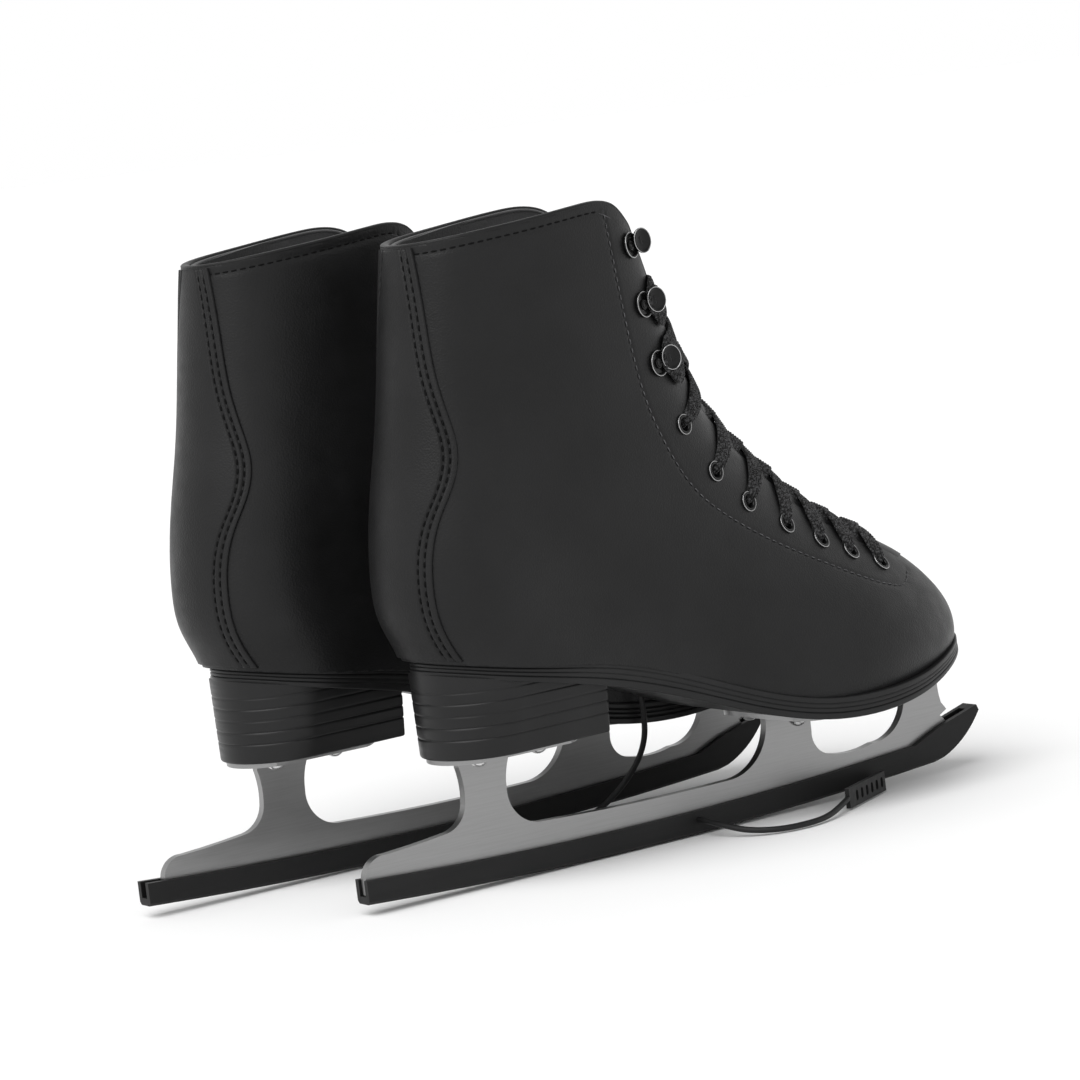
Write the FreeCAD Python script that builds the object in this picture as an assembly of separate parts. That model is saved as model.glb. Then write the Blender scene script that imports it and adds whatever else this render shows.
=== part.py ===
"""A pair of lace-up figure skates standing in their blade guards, in millimetres.

Each skate is drawn once, as the right one, in its own axes: X forwards, Y to the
skater's left, Z up, with the point of its guard that touches the ground at the origin.
The left skate is its mirror image.  The pair stands side by side, the left one set back.
"""
import FreeCAD, Part
import math
import os

V = FreeCAD.Vector
FAR = 70.0                # further out to each side than any part of a skate

# ---- the pair -----------------------------------------------------------------
SPACING = 90.0            # between the two blades' middle planes
STAGGER = 42.0            # the left skate stands this far behind the right one
LEFT_GUARD_BACK = 8.0     # the left guard is pushed on this much less far forwards

# ---- boot: sections of the leather's outer face at rising heights ----------------
# Half-widths are given at these fractions of the way from the heel to the toe.
FRACTIONS = (0.08, 0.30, 0.50, 0.70, 0.90)
# height, rear end, front end, half-widths, how far the middle line bends inwards
STATIONS = (
    (44.0, -92.0, 164.0, (27.0, 26.0, 31.0, 39.0, 28.0), (0.0, -1.5, -0.5, 2.0, 6.0)),
    (56.0, -93.0, 170.0, (28.0, 27.0, 32.0, 41.0, 30.5), (0.0, -1.5, -0.5, 2.0, 6.0)),
    (72.0, -94.0, 169.5, (29.5, 28.5, 33.0, 40.5, 29.0), (0.0, -1.5, -0.5, 2.0, 6.0)),
    (86.0, -95.0, 159.5, (31.0, 30.5, 34.0, 37.5, 24.5), (0.0, -1.2, 0.0, 2.0, 5.0)),
    (98.0, -98.0, 145.0, (31.5, 32.0, 34.0, 33.5, 20.5), (0.0, -0.8, 0.0, 2.0, 4.0)),
    (110.0, -102.5, 124.0, (32.0, 33.0, 33.5, 31.0, 19.0), (0.0, 0.0, 0.0, 1.0, 2.5)),
    (124.0, -103.8, 101.0, (31.0, 34.0, 34.0, 30.0, 18.5), (0.0, 0.0, 0.0, 0.5, 1.0)),
    (140.0, -102.5, 82.0, (29.5, 34.5, 35.0, 30.5, 19.0), (0.0, 0.0, 0.0, 0.0, 0.0)),
    (160.0, -99.0, 62.0, (27.5, 34.5, 35.5, 31.5, 20.5), (0.0, 0.0, 0.0, 0.0, 0.0)),
    (185.0, -93.5, 46.0, (25.0, 33.0, 34.5, 31.5, 21.5), (0.0, 0.0, 0.0, 0.0, 0.0)),
    (215.0, -88.5, 35.5, (23.0, 32.0, 33.5, 31.0, 22.0), (0.0, 0.0, 0.0, 0.0, 0.0)),
    (245.0, -83.5, 27.5, (22.0, 31.0, 33.0, 31.0, 22.0), (0.0, 0.0, 0.0, 0.0, 0.0)),
    (275.0, -79.0, 20.0, (21.5, 31.0, 33.0, 31.0, 22.0), (0.0, 0.0, 0.0, 0.0, 0.0)),
)
LEATHER = 2.0             # the upper
STIFFENER = 1.2           # counter, toe box, facings and topline tape, between the layers
LINING_IN = 5.0           # the lining's inner face, below the leather's outer face
BACKSTAY_T = 1.2
TONGUE_OUT = 9.2
TONGUE_IN = 14.0
TONGUE_HALF_WIDTH = 25.0

# ---- lines seen from the side (x, z) --------------------------------------------
SEAT = ((-112.0, 98.5), (-57.0, 88.5), (-20.0, 82.0), (12.0, 71.5), (45.0, 58.0),
        (75.0, 50.0), (100.0, 48.5), (130.0, 50.5), (152.0, 54.5), (182.0, 62.0))
TREAD = ((-112.0, 91.5), (-57.0, 80.5), (-20.0, 71.5), (12.0, 61.0), (45.0, 48.5),
         (72.0, 41.5), (100.0, 39.8), (130.0, 43.0), (152.0, 48.0), (182.0, 57.0))
RIM = ((-100.0, 253.5), (-40.0, 259.8), (-14.0, 262.4), (0.0, 262.4), (8.0, 259.0),
       (15.0, 252.0), (28.0, 243.0), (60.0, 240.0), (182.0, 240.0))
COUNTER_SIDE = ((-120.0, 60.0), (-30.0, 60.0), (-48.0, 104.0), (-66.0, 140.0), (-120.0, 146.0))
TOE_BOX_SIDE = ((147.0, 40.0), (200.0, 40.0), (200.0, 150.0), (138.0, 150.0))
TONGUE_SIDE = ((140.0, 84.0), (140.0, 140.0), (90.0, 200.0), (60.0, 246.0), (-20.0, 246.0),
               (-20.0, 190.0), (10.0, 150.0), (60.0, 116.0), (104.0, 96.0), (120.0, 88.0))
TONGUE_REAR_LINE = ((2.0, 262.0), (4.0, 190.0), (24.0, 148.0), (66.0, 112.0), (140.0, 78.0),
                    (160.0, 160.0), (60.0, 262.0))
FACING_TOP = 285.0
FACING_FRONT_X = 134.0
TAPE_DEPTH = 6.0
TAPE_GAP = 0.5            # between the topline tape and the facings below it
THROAT = ((0.0, 280.0), (31.0, 280.0), (27.0, 263.0), (22.0, 252.0), (20.0, 235.0),
          (18.0, 200.0), (15.0, 165.0), (12.0, 135.0), (10.5, 118.0), (10.5, 90.0), (0.0, 90.0))
VAMP_SLOT_HALF_WIDTH = 10.5
VAMP_SLOT_END = 131.0
BACKSTAY_EDGE = ((-79.5, 262.0), (-80.5, 240.0), (-81.5, 222.0), (-82.0, 205.0), (-81.0, 190.0),
                 (-80.5, 176.0), (-84.0, 164.0), (-90.0, 152.0), (-94.5, 138.0), (-96.0, 124.0),
                 (-94.5, 110.0), (-86.0, 92.0), (-82.0, 84.0))
EYESTAY_LINE = ((-1.0, 270.0), (1.0, 234.0), (4.0, 202.0), (7.0, 184.0), (15.0, 162.0),
                (27.0, 143.0), (44.0, 129.0), (65.0, 116.0), (98.0, 99.0), (124.0, 88.0),
                (134.0, 87.0), (143.0, 92.0))

# ---- lacing (x, z seen from the side, from the toe upwards) ------------------------
EYELETS = ((125.0, 97.0), (109.0, 104.5), (93.0, 112.0), (75.0, 121.5), (55.0, 134.0),
           (39.0, 149.0), (26.0, 170.0))
HOOKS = ((17.0, 196.0), (14.0, 220.0), (12.0, 244.0))
EYELET_BORE_R = 2.5
EYELET_BARREL_R = 3.0
EYELET_FLANGE_R = 4.2
EYELET_FLANGE_T = 0.8
FITTING_LIFT = 0.15       # metal fittings stand this far off the leather
HOLE_SLACK = 0.1
HOOK_BASE_R = 4.6
HOOK_BASE_T = 1.0
HOOK_NECK_R = 1.2
HOOK_NECK_AT = 3.2
HOOK_HEAD_R = 4.3
HOOK_HEAD_T = 0.9
HOOK_HEAD_AT = 5.0
HOOK_GAP = 3.6            # between base and head
RIVET_R = 1.4
LACE_D = 2.2
LACE_BED = 0.25          # room pressed round the lace in the soft layers that it touches
LACE_UNDER = -6.5         # the lace's middle where it runs between lining and tongue
LACE_OVER = 2.9
LACE_IN_BORE = -1.8       # a point on the bore's axis that keeps the lace straight there
STRAIGHT = 1e-4           # a turn smaller than this, in radians, is no turn
LACE_TUCK = 14.0          # from the last hook to where the lace's end goes inside
LACE_AROUND = 2.9         # the lace's turn round a hook's neck
LACE_TIP_LENGTH = 14.0
TIP_R = LACE_D / 2 + 0.2

# ---- sole unit and heel ----------------------------------------------------------
SOLE_LIP = 1.4            # the sole stands this far outside the leather
BOARD_T = 2.0
INSOLE_T = 3.5
SHANK_T = 1.6
SHANK = (-62.0, 42.0, 7.0)        # rear end, front end, half-width
HEEL_BOTTOM_Z = 54.0
HEEL_BREAST_X = -24.0
HEEL_REAR_X = -94.5
HEEL_TOP_R = 31.0
HEEL_BOTTOM_R = 26.0
HEEL_HEIGHT = 40.0        # of the block before the boot's curved seat cuts it

# ---- blade -----------------------------------------------------------------------
ROCKER_R = 2040.0
BLADE_T = 3.8
BLADE_EDGE = 3.3          # the blade's edge above the guard's bottom
BLADE_REAR_X = -131.0
PICK_X = 146.0            # where the rocker ends and the toe pick begins
PICK_TEETH = ((151.0, 10.6), (152.6, 12.2), (150.9, 14.4), (156.4, 16.8), (154.2, 19.4),
              (159.6, 21.8), (157.0, 24.6), (160.8, 26.6), (158.3, 30.0))
# From the toe pick back along the blade's top: each run's end, with a bend point for an arc.
BLADE_TOP = (((157.3, 37.0), (157.8, 44.0)), (None, (157.8, 60.0)), (None, (139.0, 60.0)),
             (None, (139.0, 38.0)), ((133.5, 24.6), (120.0, 19.6)), ((106.0, 18.2), (98.0, 19.4)),
             ((91.5, 22.8), (89.2, 31.0)), (None, (89.2, 60.0)), (None, (67.5, 60.0)),
             (None, (66.6, 40.0)), ((60.8, 25.4), (46.0, 18.6)), ((0.0, 18.6), (-49.0, 20.4)),
             ((-58.8, 26.0), (-62.0, 37.0)), ((-61.4, 43.0), (-59.5, 49.0)), (None, (-59.5, 60.0)),
             (None, (-82.8, 60.0)), (None, (-82.8, 49.0)), ((-81.6, 41.0), (-82.0, 34.0)),
             ((-85.6, 27.4), (-92.0, 24.4)), ((-107.0, 22.9), (-121.0, 22.0)),
             ((-128.6, 19.2), (BLADE_REAR_X, 13.0)))
PLATE_T = 2.0
SCREW_HEAD_R = 3.6
SCREW_HEAD_T = 2.2
SCREW_SHANK_R = 1.8
SCREW_LENGTH = 9.0
HEEL_SCREWS = ((-80.0, 13.0), (-52.0, 13.0))
SOLE_SCREWS = ((72.0, 17.0), (100.0, 18.0), (132.0, 14.0))

# ---- guard -----------------------------------------------------------------------
GUARD_REAR_X = -132.0
GUARD_HALF_WIDTH = 4.6
GUARD_SLOT_HALF_WIDTH = 2.2
GUARD_FLOOR = 3.0
GUARD_HEIGHT = 9.6
GUARD_CHAMFER = 1.2
GUARD_TURN_X = 150.0      # where the bottom leaves the rocker and turns up
GUARD_TURN_BEND = (165.0, 12.4)
GUARD_TIP = ((176.0, 23.6), (175.0, 26.0), (154.0, 20.2))
GUARD_CREST_FRONT = (140.0, 14.6)
SLOT_TURN_X = 154.0
SLOT_TURN_BEND = (163.5, 13.4)
SLOT_END = (170.6, 23.6)

# ---- guard straps: the route's points, in each skate's own axes ---------------------
STRAP_D = 2.5
RIGHT_STRAP = ((26.0, -4.6, 6.0), (26.0, -9.6, 6.0), (28.0, -18.0, 4.6), (33.0, -28.0, 2.2),
               (43.0, -36.0, 1.3), (56.0, -38.5, 1.3), (68.0, -36.0, 1.5), (78.0, -31.0, 3.0),
               (86.0, -26.2, 4.5))
LEFT_STRAP = ((18.0, -4.6, 6.0), (18.0, -9.4, 6.0), (21.0, -17.0, 4.2), (31.0, -24.0, 2.2),
              (43.0, -27.5, 1.4), (54.0, -28.5, 2.6), (64.0, -30.0, 7.0), (72.0, -34.0, 14.5),
              (76.5, -40.5, 24.0), (78.0, -46.0, 34.0), (77.5, -48.5, 44.5), (76.5, -49.0, 56.0),
              (76.5, -49.0, 66.0))
TAB_LENGTH = 36.0
TAB_WIDTH = 8.4
TAB_T = 2.0
TAB_SLOTS = 6
TAB_SLOT_HALF_LENGTH = 2.2
TAB_SLOT_R = 1.1
RIGHT_TAB_END = (118.0, -9.0, 4.5)
LEFT_TAB_END = (76.5, -49.0, 102.0)


def spline(points, periodic=False):
    curve = Part.BSplineCurve()
    curve.interpolate(Points=[V(*p) for p in points], PeriodicFlag=periodic)
    return curve.toShape()


def outline_points(index):
    """One section's points: round from the heel's end, outer side first."""
    z, rear, front, widths, bends = STATIONS[index]
    length = front - rear
    outer = [V(rear + f * length, b - w, z) for f, w, b in zip(FRACTIONS, widths, bends)]
    inner = [V(rear + f * length, b + w, z) for f, w, b in zip(FRACTIONS, widths, bends)]
    toe = V(front, bends[-1], z)
    return [V(rear, 0, z)] + outer + [toe] + inner[::-1]


OUTLINES = [outline_points(i) for i in range(len(STATIONS))]


def inset_outline(index, inset):
    """The section moved inwards, square to the leather's own slope."""
    ring = OUTLINES[index]
    below = OUTLINES[max(index - 1, 0)]
    above = OUTLINES[min(index + 1, len(OUTLINES) - 1)]
    moved = []
    for k, point in enumerate(ring):
        along = ring[(k + 1) % len(ring)] - ring[k - 1]
        normal = along.cross(above[k] - below[k])
        normal.normalize()
        level = V(normal.x, normal.y, 0)
        share = max(level.Length, 0.45)
        level.normalize()
        moved.append(point - level * (inset / share))
    return moved


def skin(inset):
    """The solid inside a face that lies this far within the leather's outer face."""
    rings = []
    for index in range(len(STATIONS)):
        points = inset_outline(index, inset)
        rings.append(Part.Wire([spline(points, periodic=True)]))
    return Part.makeLoft(rings, True, False)


def slab(low, high, half_width=FAR, grow_low=0.0, grow_high=0.0):
    """The space between two lines seen from the side, from one side to the other."""
    lower = [(x, -half_width, z + grow_low) for x, z in low]
    upper = [(x, -half_width, z + grow_high) for x, z in high]
    edges = [spline(lower),
             Part.makeLine(V(*lower[-1]), V(*upper[-1])),
             spline(upper),
             Part.makeLine(V(*lower[0]), V(*upper[0]))]
    face = Part.Face(Part.Wire(Part.__sortEdges__(edges)))
    return face.extrude(V(0, 2 * half_width, 0))


def prism_xz(points, half_width):
    ring = [V(x, -half_width, z) for x, z in points]
    face = Part.Face(Part.makePolygon(ring + [ring[0]]))
    return face.extrude(V(0, 2 * half_width, 0))


def biggest(shape):
    """The largest solid of a result, which drops thin leftovers of a cut."""
    return max(shape.Solids, key=lambda s: s.Volume)


def group(shapes):
    return Part.makeCompound([s for shape in shapes for s in shape.Solids])


SKIN = skin(0.0)
SKIN_LEATHER = skin(LEATHER)
SKIN_STIFF = skin(LEATHER + STIFFENER)
SKIN_LINING = skin(LINING_IN)
SKIN_FACE = max(SKIN.Faces, key=lambda f: f.Area)


def on_skin(point):
    """The nearest point of the leather's outer face, and the way out of it."""
    spot = SKIN_FACE.distToShape(Part.Vertex(point))[1][0][0]
    u, v = SKIN_FACE.Surface.parameter(spot)
    normal = SKIN_FACE.normalAt(u, v)
    if SKIN.isInside(spot + normal * 0.5, 0.01, True):
        normal = normal * -1
    return spot, normal


def ahead_on_skin(point, way):
    """Where a line from inside the boot leaves the leather, and the way out there."""
    line = Part.makeLine(point, point + way * 90.0)
    spot = max((v.Point for v in SKIN.common(line).Vertexes), key=lambda p: (p - point).Length)
    return on_skin(spot)


def side_point(x, z, side):
    """Where a line across the boot leaves the leather, on one side (-1 outer, 1 inner)."""
    line = Part.makeLine(V(x, 0, z), V(x, side * 60.0, z))
    ends = [v.Point for v in SKIN.common(line).Vertexes]
    return max(ends, key=lambda p: abs(p.y))


def throat_cutter():
    """The opening down the front of the boot, between the two rows of eyelets."""
    ring = [V(-30, y, z) for y, z in THROAT]
    ring += [V(-30, -y, z) for y, z in reversed(THROAT) if y > 0]
    front = Part.Face(Part.makePolygon(ring + [ring[0]])).extrude(V(160, 0, 0))
    front = front.common(Part.makeBox(200, 140, 200, V(0, -70, 112)))
    half = VAMP_SLOT_HALF_WIDTH
    slot = Part.makeBox(VAMP_SLOT_END - half - 30, 2 * half, 80, V(30, -half, 88))
    end = Part.makeCylinder(half, 80, V(VAMP_SLOT_END - half, 0, 88))
    return front.fuse([slot, end])


HIGH = ((-112.0, 300.0), (182.0, 300.0))
FLOOR_LINE = ((-112.0, 20.0), (-20.0, 20.0), (182.0, 20.0))
THROAT_CUT = throat_cutter()
UNDER_RIM = slab(FLOOR_LINE, RIM)
ABOVE_SEAT = slab(SEAT, HIGH)
ABOVE_BOARD = slab(SEAT, HIGH, grow_low=BOARD_T)
BOOT_SPACE = ABOVE_SEAT.common(UNDER_RIM)


def fittings():
    """The places of the eyelets and hooks: point, way out, and way to the laces."""
    rows = []
    for x, z in EYELETS + HOOKS:
        pair = []
        for side in (-1, 1):
            spot, out = on_skin(side_point(x, z, side))
            towards = V(0, -side, 0) - out * V(0, -side, 0).dot(out)
            towards.normalize()
            pair.append((spot, out, towards))
        rows.append(pair)
    return rows


ROWS = fittings()
EYELET_ROWS = ROWS[:len(EYELETS)]
HOOK_ROWS = ROWS[len(EYELETS):]


def pierced(shape):
    """Holes for the eyelets' barrels and the hooks' rivets."""
    cutters = []
    for rows, radius in ((EYELET_ROWS, EYELET_BARREL_R), (HOOK_ROWS, RIVET_R)):
        for spot, out, _ in (fitting for pair in rows for fitting in pair):
            cutters.append(Part.makeCylinder(radius + HOLE_SLACK, 24.0, spot - out * 12.0, out))
    return shape.cut(cutters)


def upper():
    shell = SKIN.cut(SKIN_LEATHER).common(BOOT_SPACE).cut(THROAT_CUT)
    return biggest(pierced(biggest(shell)))


def stiffener_layer():
    return SKIN_LEATHER.cut(SKIN_STIFF).common(ABOVE_BOARD.common(UNDER_RIM))


def counter(layer):
    return biggest(layer.common(prism_xz(COUNTER_SIDE, FAR)))


def toe_box(layer):
    return biggest(layer.common(prism_xz(TOE_BOX_SIDE, FAR)))


def facings(layer):
    back = [(x, z) for x, z in EYESTAY_LINE if x < FACING_FRONT_X - 4.0]
    front = [(FACING_FRONT_X, 90.0), (FACING_FRONT_X, FACING_TOP), (EYESTAY_LINE[0][0], FACING_TOP)]
    region = prism_xz(back + front, FAR)
    below_tape = slab(FLOOR_LINE, RIM, grow_high=-TAPE_DEPTH - TAPE_GAP)
    strips = layer.common(region).common(below_tape).cut(THROAT_CUT)
    halves = [Part.makeBox(300, FAR, 300, V(-120, y, 0)) for y in (-FAR, 0.0)]
    return group([biggest(pierced(biggest(strips.common(half)))) for half in halves])


def topline_tape(layer):
    band = slab(RIM, RIM, grow_low=-TAPE_DEPTH)
    return biggest(biggest(layer.common(band)).cut(THROAT_CUT))


def lining():
    shell = SKIN_STIFF.cut(SKIN_LINING).common(ABOVE_BOARD.common(UNDER_RIM)).cut(THROAT_CUT)
    return biggest(pierced(biggest(shell)))


def tongue():
    pad = skin(TONGUE_OUT).cut(skin(TONGUE_IN))
    region = prism_xz(TONGUE_SIDE, TONGUE_HALF_WIDTH)
    return biggest(pad.common(region).common(prism_xz(TONGUE_REAR_LINE, FAR)))


def backstay():
    layer = skin(-BACKSTAY_T).cut(SKIN).common(BOOT_SPACE)
    edge = [(x, -70.0, z) for x, z in BACKSTAY_EDGE]
    edges = [spline(edge),
             Part.makeLine(V(*edge[-1]), V(-130, -70, 84)),
             Part.makeLine(V(-130, -70, 84), V(-130, -70, 262)),
             Part.makeLine(V(-130, -70, 262), V(*edge[0]))]
    region = Part.Face(Part.Wire(edges)).extrude(V(0, 140, 0))
    return biggest(layer.common(region))


def sole_plan(lip):
    """The sole's outline seen from above, grown a little beyond the leather."""
    ring = inset_outline(1, -lip)
    flat = [(p.x, p.y, 20.0) for p in ring]
    face = Part.Face(Part.Wire([spline(flat, periodic=True)]))
    return face.extrude(V(0, 0, 100))


def shank():
    rear, front, half = SHANK
    strip = Part.makeBox(front - rear, 2 * half, 100, V(rear, -half, 30))
    return biggest(slab(SEAT, SEAT, grow_low=-SHANK_T).common(strip))


def outsole(shank_solid):
    unit = sole_plan(SOLE_LIP).common(slab(TREAD, SEAT))
    return biggest(biggest(unit).cut(shank_solid))


def heel_ring(z):
    """One level of the heel: a round back and straight sides up to the breast."""
    share = (z - HEEL_BOTTOM_Z) / HEEL_HEIGHT
    radius = HEEL_BOTTOM_R + share * (HEEL_TOP_R - HEEL_BOTTOM_R)
    middle = HEEL_REAR_X + radius
    sides = radius - 1.5
    start = V(HEEL_BREAST_X, -sides, z)
    finish = V(HEEL_BREAST_X, sides, z)
    left = V(middle, -radius, z)
    right = V(middle, radius, z)
    back = Part.Arc(left, V(HEEL_REAR_X, 0, z), right).toShape()
    return Part.Wire([Part.makeLine(start, left), back, Part.makeLine(right, finish),
                      Part.makeLine(finish, start)])


def heel():
    block = Part.makeLoft([heel_ring(HEEL_BOTTOM_Z), heel_ring(HEEL_BOTTOM_Z + HEEL_HEIGHT)], True, True)
    return biggest(block.cut(slab(TREAD, HIGH)))


def rocker(x):
    return ROCKER_R - math.sqrt(ROCKER_R * ROCKER_R - x * x)


def plate(region, low, high):
    """A steel plate under the boot: a plan outline between two lines seen from the side."""
    return biggest(region.common(slab(low, high, grow_low=-PLATE_T)))


def rounded_plan(rear, front, rear_half, front_half):
    """A plate seen from above: straight sides and round ends."""
    a = V(rear, -rear_half, 20)
    b = V(front, -front_half, 20)
    c = V(front, front_half, 20)
    d = V(rear, rear_half, 20)
    nose = Part.Arc(b, V(front + 0.6 * front_half, 0, 20), c).toShape()
    tail = Part.Arc(d, V(rear - 0.6 * rear_half, 0, 20), a).toShape()
    return Part.Face(Part.Wire([Part.makeLine(a, b), nose, Part.makeLine(c, d), tail])).extrude(V(0, 0, 80))


def heel_plate(holes):
    level = ((-112.0, HEEL_BOTTOM_Z), (0.0, HEEL_BOTTOM_Z))
    return biggest(plate(rounded_plan(-82.0, -40.0, 18.0, 19.0), level, level).cut(holes))


def sole_plate(holes):
    """The front plate follows the tread, with a level seat milled for each screw's head."""
    seats = []
    for x, y in SOLE_SCREWS:
        level = tread_height(x) - PLATE_T
        for side in (-1, 1):
            seats.append(Part.makeCylinder(SCREW_HEAD_R + 0.3, 4.0, V(x, side * y, level - 4.0)))
    return biggest(plate(rounded_plan(66.0, 140.0, 22.0, 19.0), TREAD, TREAD).cut(holes + seats))


def screw(x, y, face_z):
    """A dome-headed screw driven up through a plate whose lower face is at face_z."""
    dome_r = (SCREW_HEAD_R ** 2 + SCREW_HEAD_T ** 2) / (2 * SCREW_HEAD_T)
    ball = Part.makeSphere(dome_r, V(x, y, face_z - SCREW_HEAD_T + dome_r))
    head = ball.common(Part.makeCylinder(SCREW_HEAD_R + 1, SCREW_HEAD_T, V(x, y, face_z - SCREW_HEAD_T)))
    stem = Part.makeCylinder(SCREW_SHANK_R, SCREW_LENGTH, V(x, y, face_z))
    return biggest(head.fuse(stem).removeSplitter())


def tread_height(x):
    line = Part.makeLine(V(x, -70, 0), V(x, -70, 120))
    edge = spline([(px, -70, pz) for px, pz in TREAD])
    return edge.distToShape(line)[1][0][0].z


def screws_for(places, height_at):
    made = []
    for x, y in places:
        for side in (-1, 1):
            made.append(screw(x, side * y, height_at(x) - PLATE_T))
    return made


def screw_holes(screws):
    """The screws' own space, with a little room round it."""
    holes = []
    for one in screws:
        box = one.BoundBox
        centre = V(box.Center.x, box.Center.y, box.ZMin + SCREW_HEAD_T)
        holes.append(Part.makeCylinder(SCREW_SHANK_R + HOLE_SLACK, SCREW_LENGTH + HOLE_SLACK, centre))
    return holes


def blade(plates):
    """One steel plate: the runner, the toe pick and three posts, cut from a single outline."""
    half = BLADE_T / 2
    rear_z = rocker(BLADE_REAR_X) + BLADE_EDGE
    pick_z = rocker(PICK_X) + BLADE_EDGE

    def at(point):
        return V(point[0], -half, point[1])

    teeth = [(PICK_X, pick_z)] + list(PICK_TEETH)
    edges = [Part.Arc(at((BLADE_REAR_X, rear_z)), at((0.0, BLADE_EDGE)), at((PICK_X, pick_z))).toShape()]
    edges += [Part.makeLine(at(a), at(b)) for a, b in zip(teeth, teeth[1:])]
    last = teeth[-1]
    for bend, end in BLADE_TOP:
        if bend:
            edges.append(Part.Arc(at(last), at(bend), at(end)).toShape())
        else:
            edges.append(Part.makeLine(at(last), at(end)))
        last = end
    edges.append(Part.makeLine(at(last), at((BLADE_REAR_X, rear_z))))
    sheet = Part.Face(Part.Wire(edges)).extrude(V(0, BLADE_T, 0))
    over_heel = Part.makeBox(120, 40, 40, V(-112, -20, HEEL_BOTTOM_Z - PLATE_T))
    front_tread = TREAD[4:]
    over_sole = slab(front_tread, ((front_tread[0][0], 90.0), (182.0, 90.0)), grow_low=-PLATE_T)
    return biggest(sheet.cut([over_heel, over_sole] + plates))


def guard():
    """A soft channel that follows the blade's rocker and turns up past the toe pick."""
    half = GUARD_HALF_WIDTH
    rear = GUARD_REAR_X
    rear_z = rocker(rear)

    def low_edge(y, floor, turn_x, turn_bend, turn_end):
        """The rocker's arc, and the arc that turns up at the front."""
        turn_z = rocker(turn_x) + floor
        level = Part.Arc(V(rear, y, rear_z + floor), V(0, y, floor), V(turn_x, y, turn_z))
        bend = V(turn_bend[0], y, turn_bend[1])
        turn = Part.Arc(V(turn_x, y, turn_z), bend, V(turn_end[0], y, turn_end[1]))
        return [level.toShape(), turn.toShape()]

    tip = [V(x, -half, z) for x, z in GUARD_TIP]
    crest_start = V(GUARD_CREST_FRONT[0], -half, GUARD_CREST_FRONT[1])
    crest_end = V(rear, -half, rear_z + GUARD_HEIGHT)
    edges = low_edge(-half, 0.0, GUARD_TURN_X, GUARD_TURN_BEND, GUARD_TIP[0])
    edges += [Part.makeLine(a, b) for a, b in zip(tip, tip[1:] + [crest_start])]
    edges.append(Part.Arc(crest_start, V(0, -half, GUARD_HEIGHT), crest_end).toShape())
    edges.append(Part.makeLine(crest_end, V(rear, -half, rear_z)))
    body = Part.Face(Part.Wire(edges)).extrude(V(0, 2 * half, 0))
    low_edges = [e for e in body.Edges if isinstance(e.Curve, Part.Circle) and e.Curve.Radius > 1000.0
                 and e.BoundBox.ZMin < 1.0]
    body = body.makeChamfer(GUARD_CHAMFER, low_edges)

    slot_half = GUARD_SLOT_HALF_WIDTH
    front_x, front_z = SLOT_END
    slot_edges = low_edge(-slot_half, GUARD_FLOOR, SLOT_TURN_X, SLOT_TURN_BEND, SLOT_END)
    ring = [V(front_x, -slot_half, front_z), V(front_x, -slot_half, 60.0), V(rear, -slot_half, 60.0),
            V(rear, -slot_half, rear_z + GUARD_FLOOR)]
    slot_edges += [Part.makeLine(a, b) for a, b in zip(ring, ring[1:])]
    slot = Part.Face(Part.Wire(slot_edges)).extrude(V(0, 2 * slot_half, 0))
    rear_end = Part.makeBox(20, 2 * slot_half, 60, V(rear - 10, -slot_half, rear_z + GUARD_FLOOR))
    return biggest(body.cut([slot, rear_end]))


def eyelets():
    rings = []
    for spot, out, _ in (fitting for pair in EYELET_ROWS for fitting in pair):
        base = spot + out * FITTING_LIFT
        flange = Part.makeCylinder(EYELET_FLANGE_R, EYELET_FLANGE_T, base, out)
        flange = flange.makeFillet(0.35, [flange.Edges[0]])
        barrel = Part.makeCylinder(EYELET_BARREL_R, LINING_IN + FITTING_LIFT + 0.4, base, out * -1)
        bore = Part.makeCylinder(EYELET_BORE_R, 20.0, spot - out * 10.0, out)
        rings.append(biggest(flange.fuse(barrel).cut(bore).removeSplitter()))
    return group(rings)


def speed_hooks():
    made = []
    for spot, out, towards in (fitting for pair in HOOK_ROWS for fitting in pair):
        base_at = spot + out * FITTING_LIFT
        base = Part.makeCylinder(HOOK_BASE_R, HOOK_BASE_T, base_at, out)
        bore = Part.makeCylinder(RIVET_R + HOLE_SLACK, 8.0, spot, out)
        top = HOOK_BASE_T + HOOK_GAP
        neck = Part.makeCylinder(HOOK_NECK_R, top + HOOK_HEAD_T, base_at + towards * HOOK_NECK_AT, out)
        head = Part.makeCylinder(HOOK_HEAD_R, HOOK_HEAD_T, base_at + out * top + towards * HOOK_HEAD_AT, out)
        made.append(biggest(base.cut(bore).fuse([neck, head]).removeSplitter()))
    return group(made)


def hook_rivets():
    made = []
    for spot, out, _ in (fitting for pair in HOOK_ROWS for fitting in pair):
        top = FITTING_LIFT + HOOK_BASE_T
        stem = Part.makeCylinder(RIVET_R, LINING_IN + top + 0.2, spot + out * top, out * -1)
        cap = Part.makeCylinder(RIVET_R + 0.7, 0.3, spot + out * top, out)
        washer = Part.makeCylinder(RIVET_R + 1.2, 0.5, spot - out * (LINING_IN + 0.2), out * -1)
        made.append(biggest(stem.fuse([cap, washer]).removeSplitter()))
    return group(made)


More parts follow.
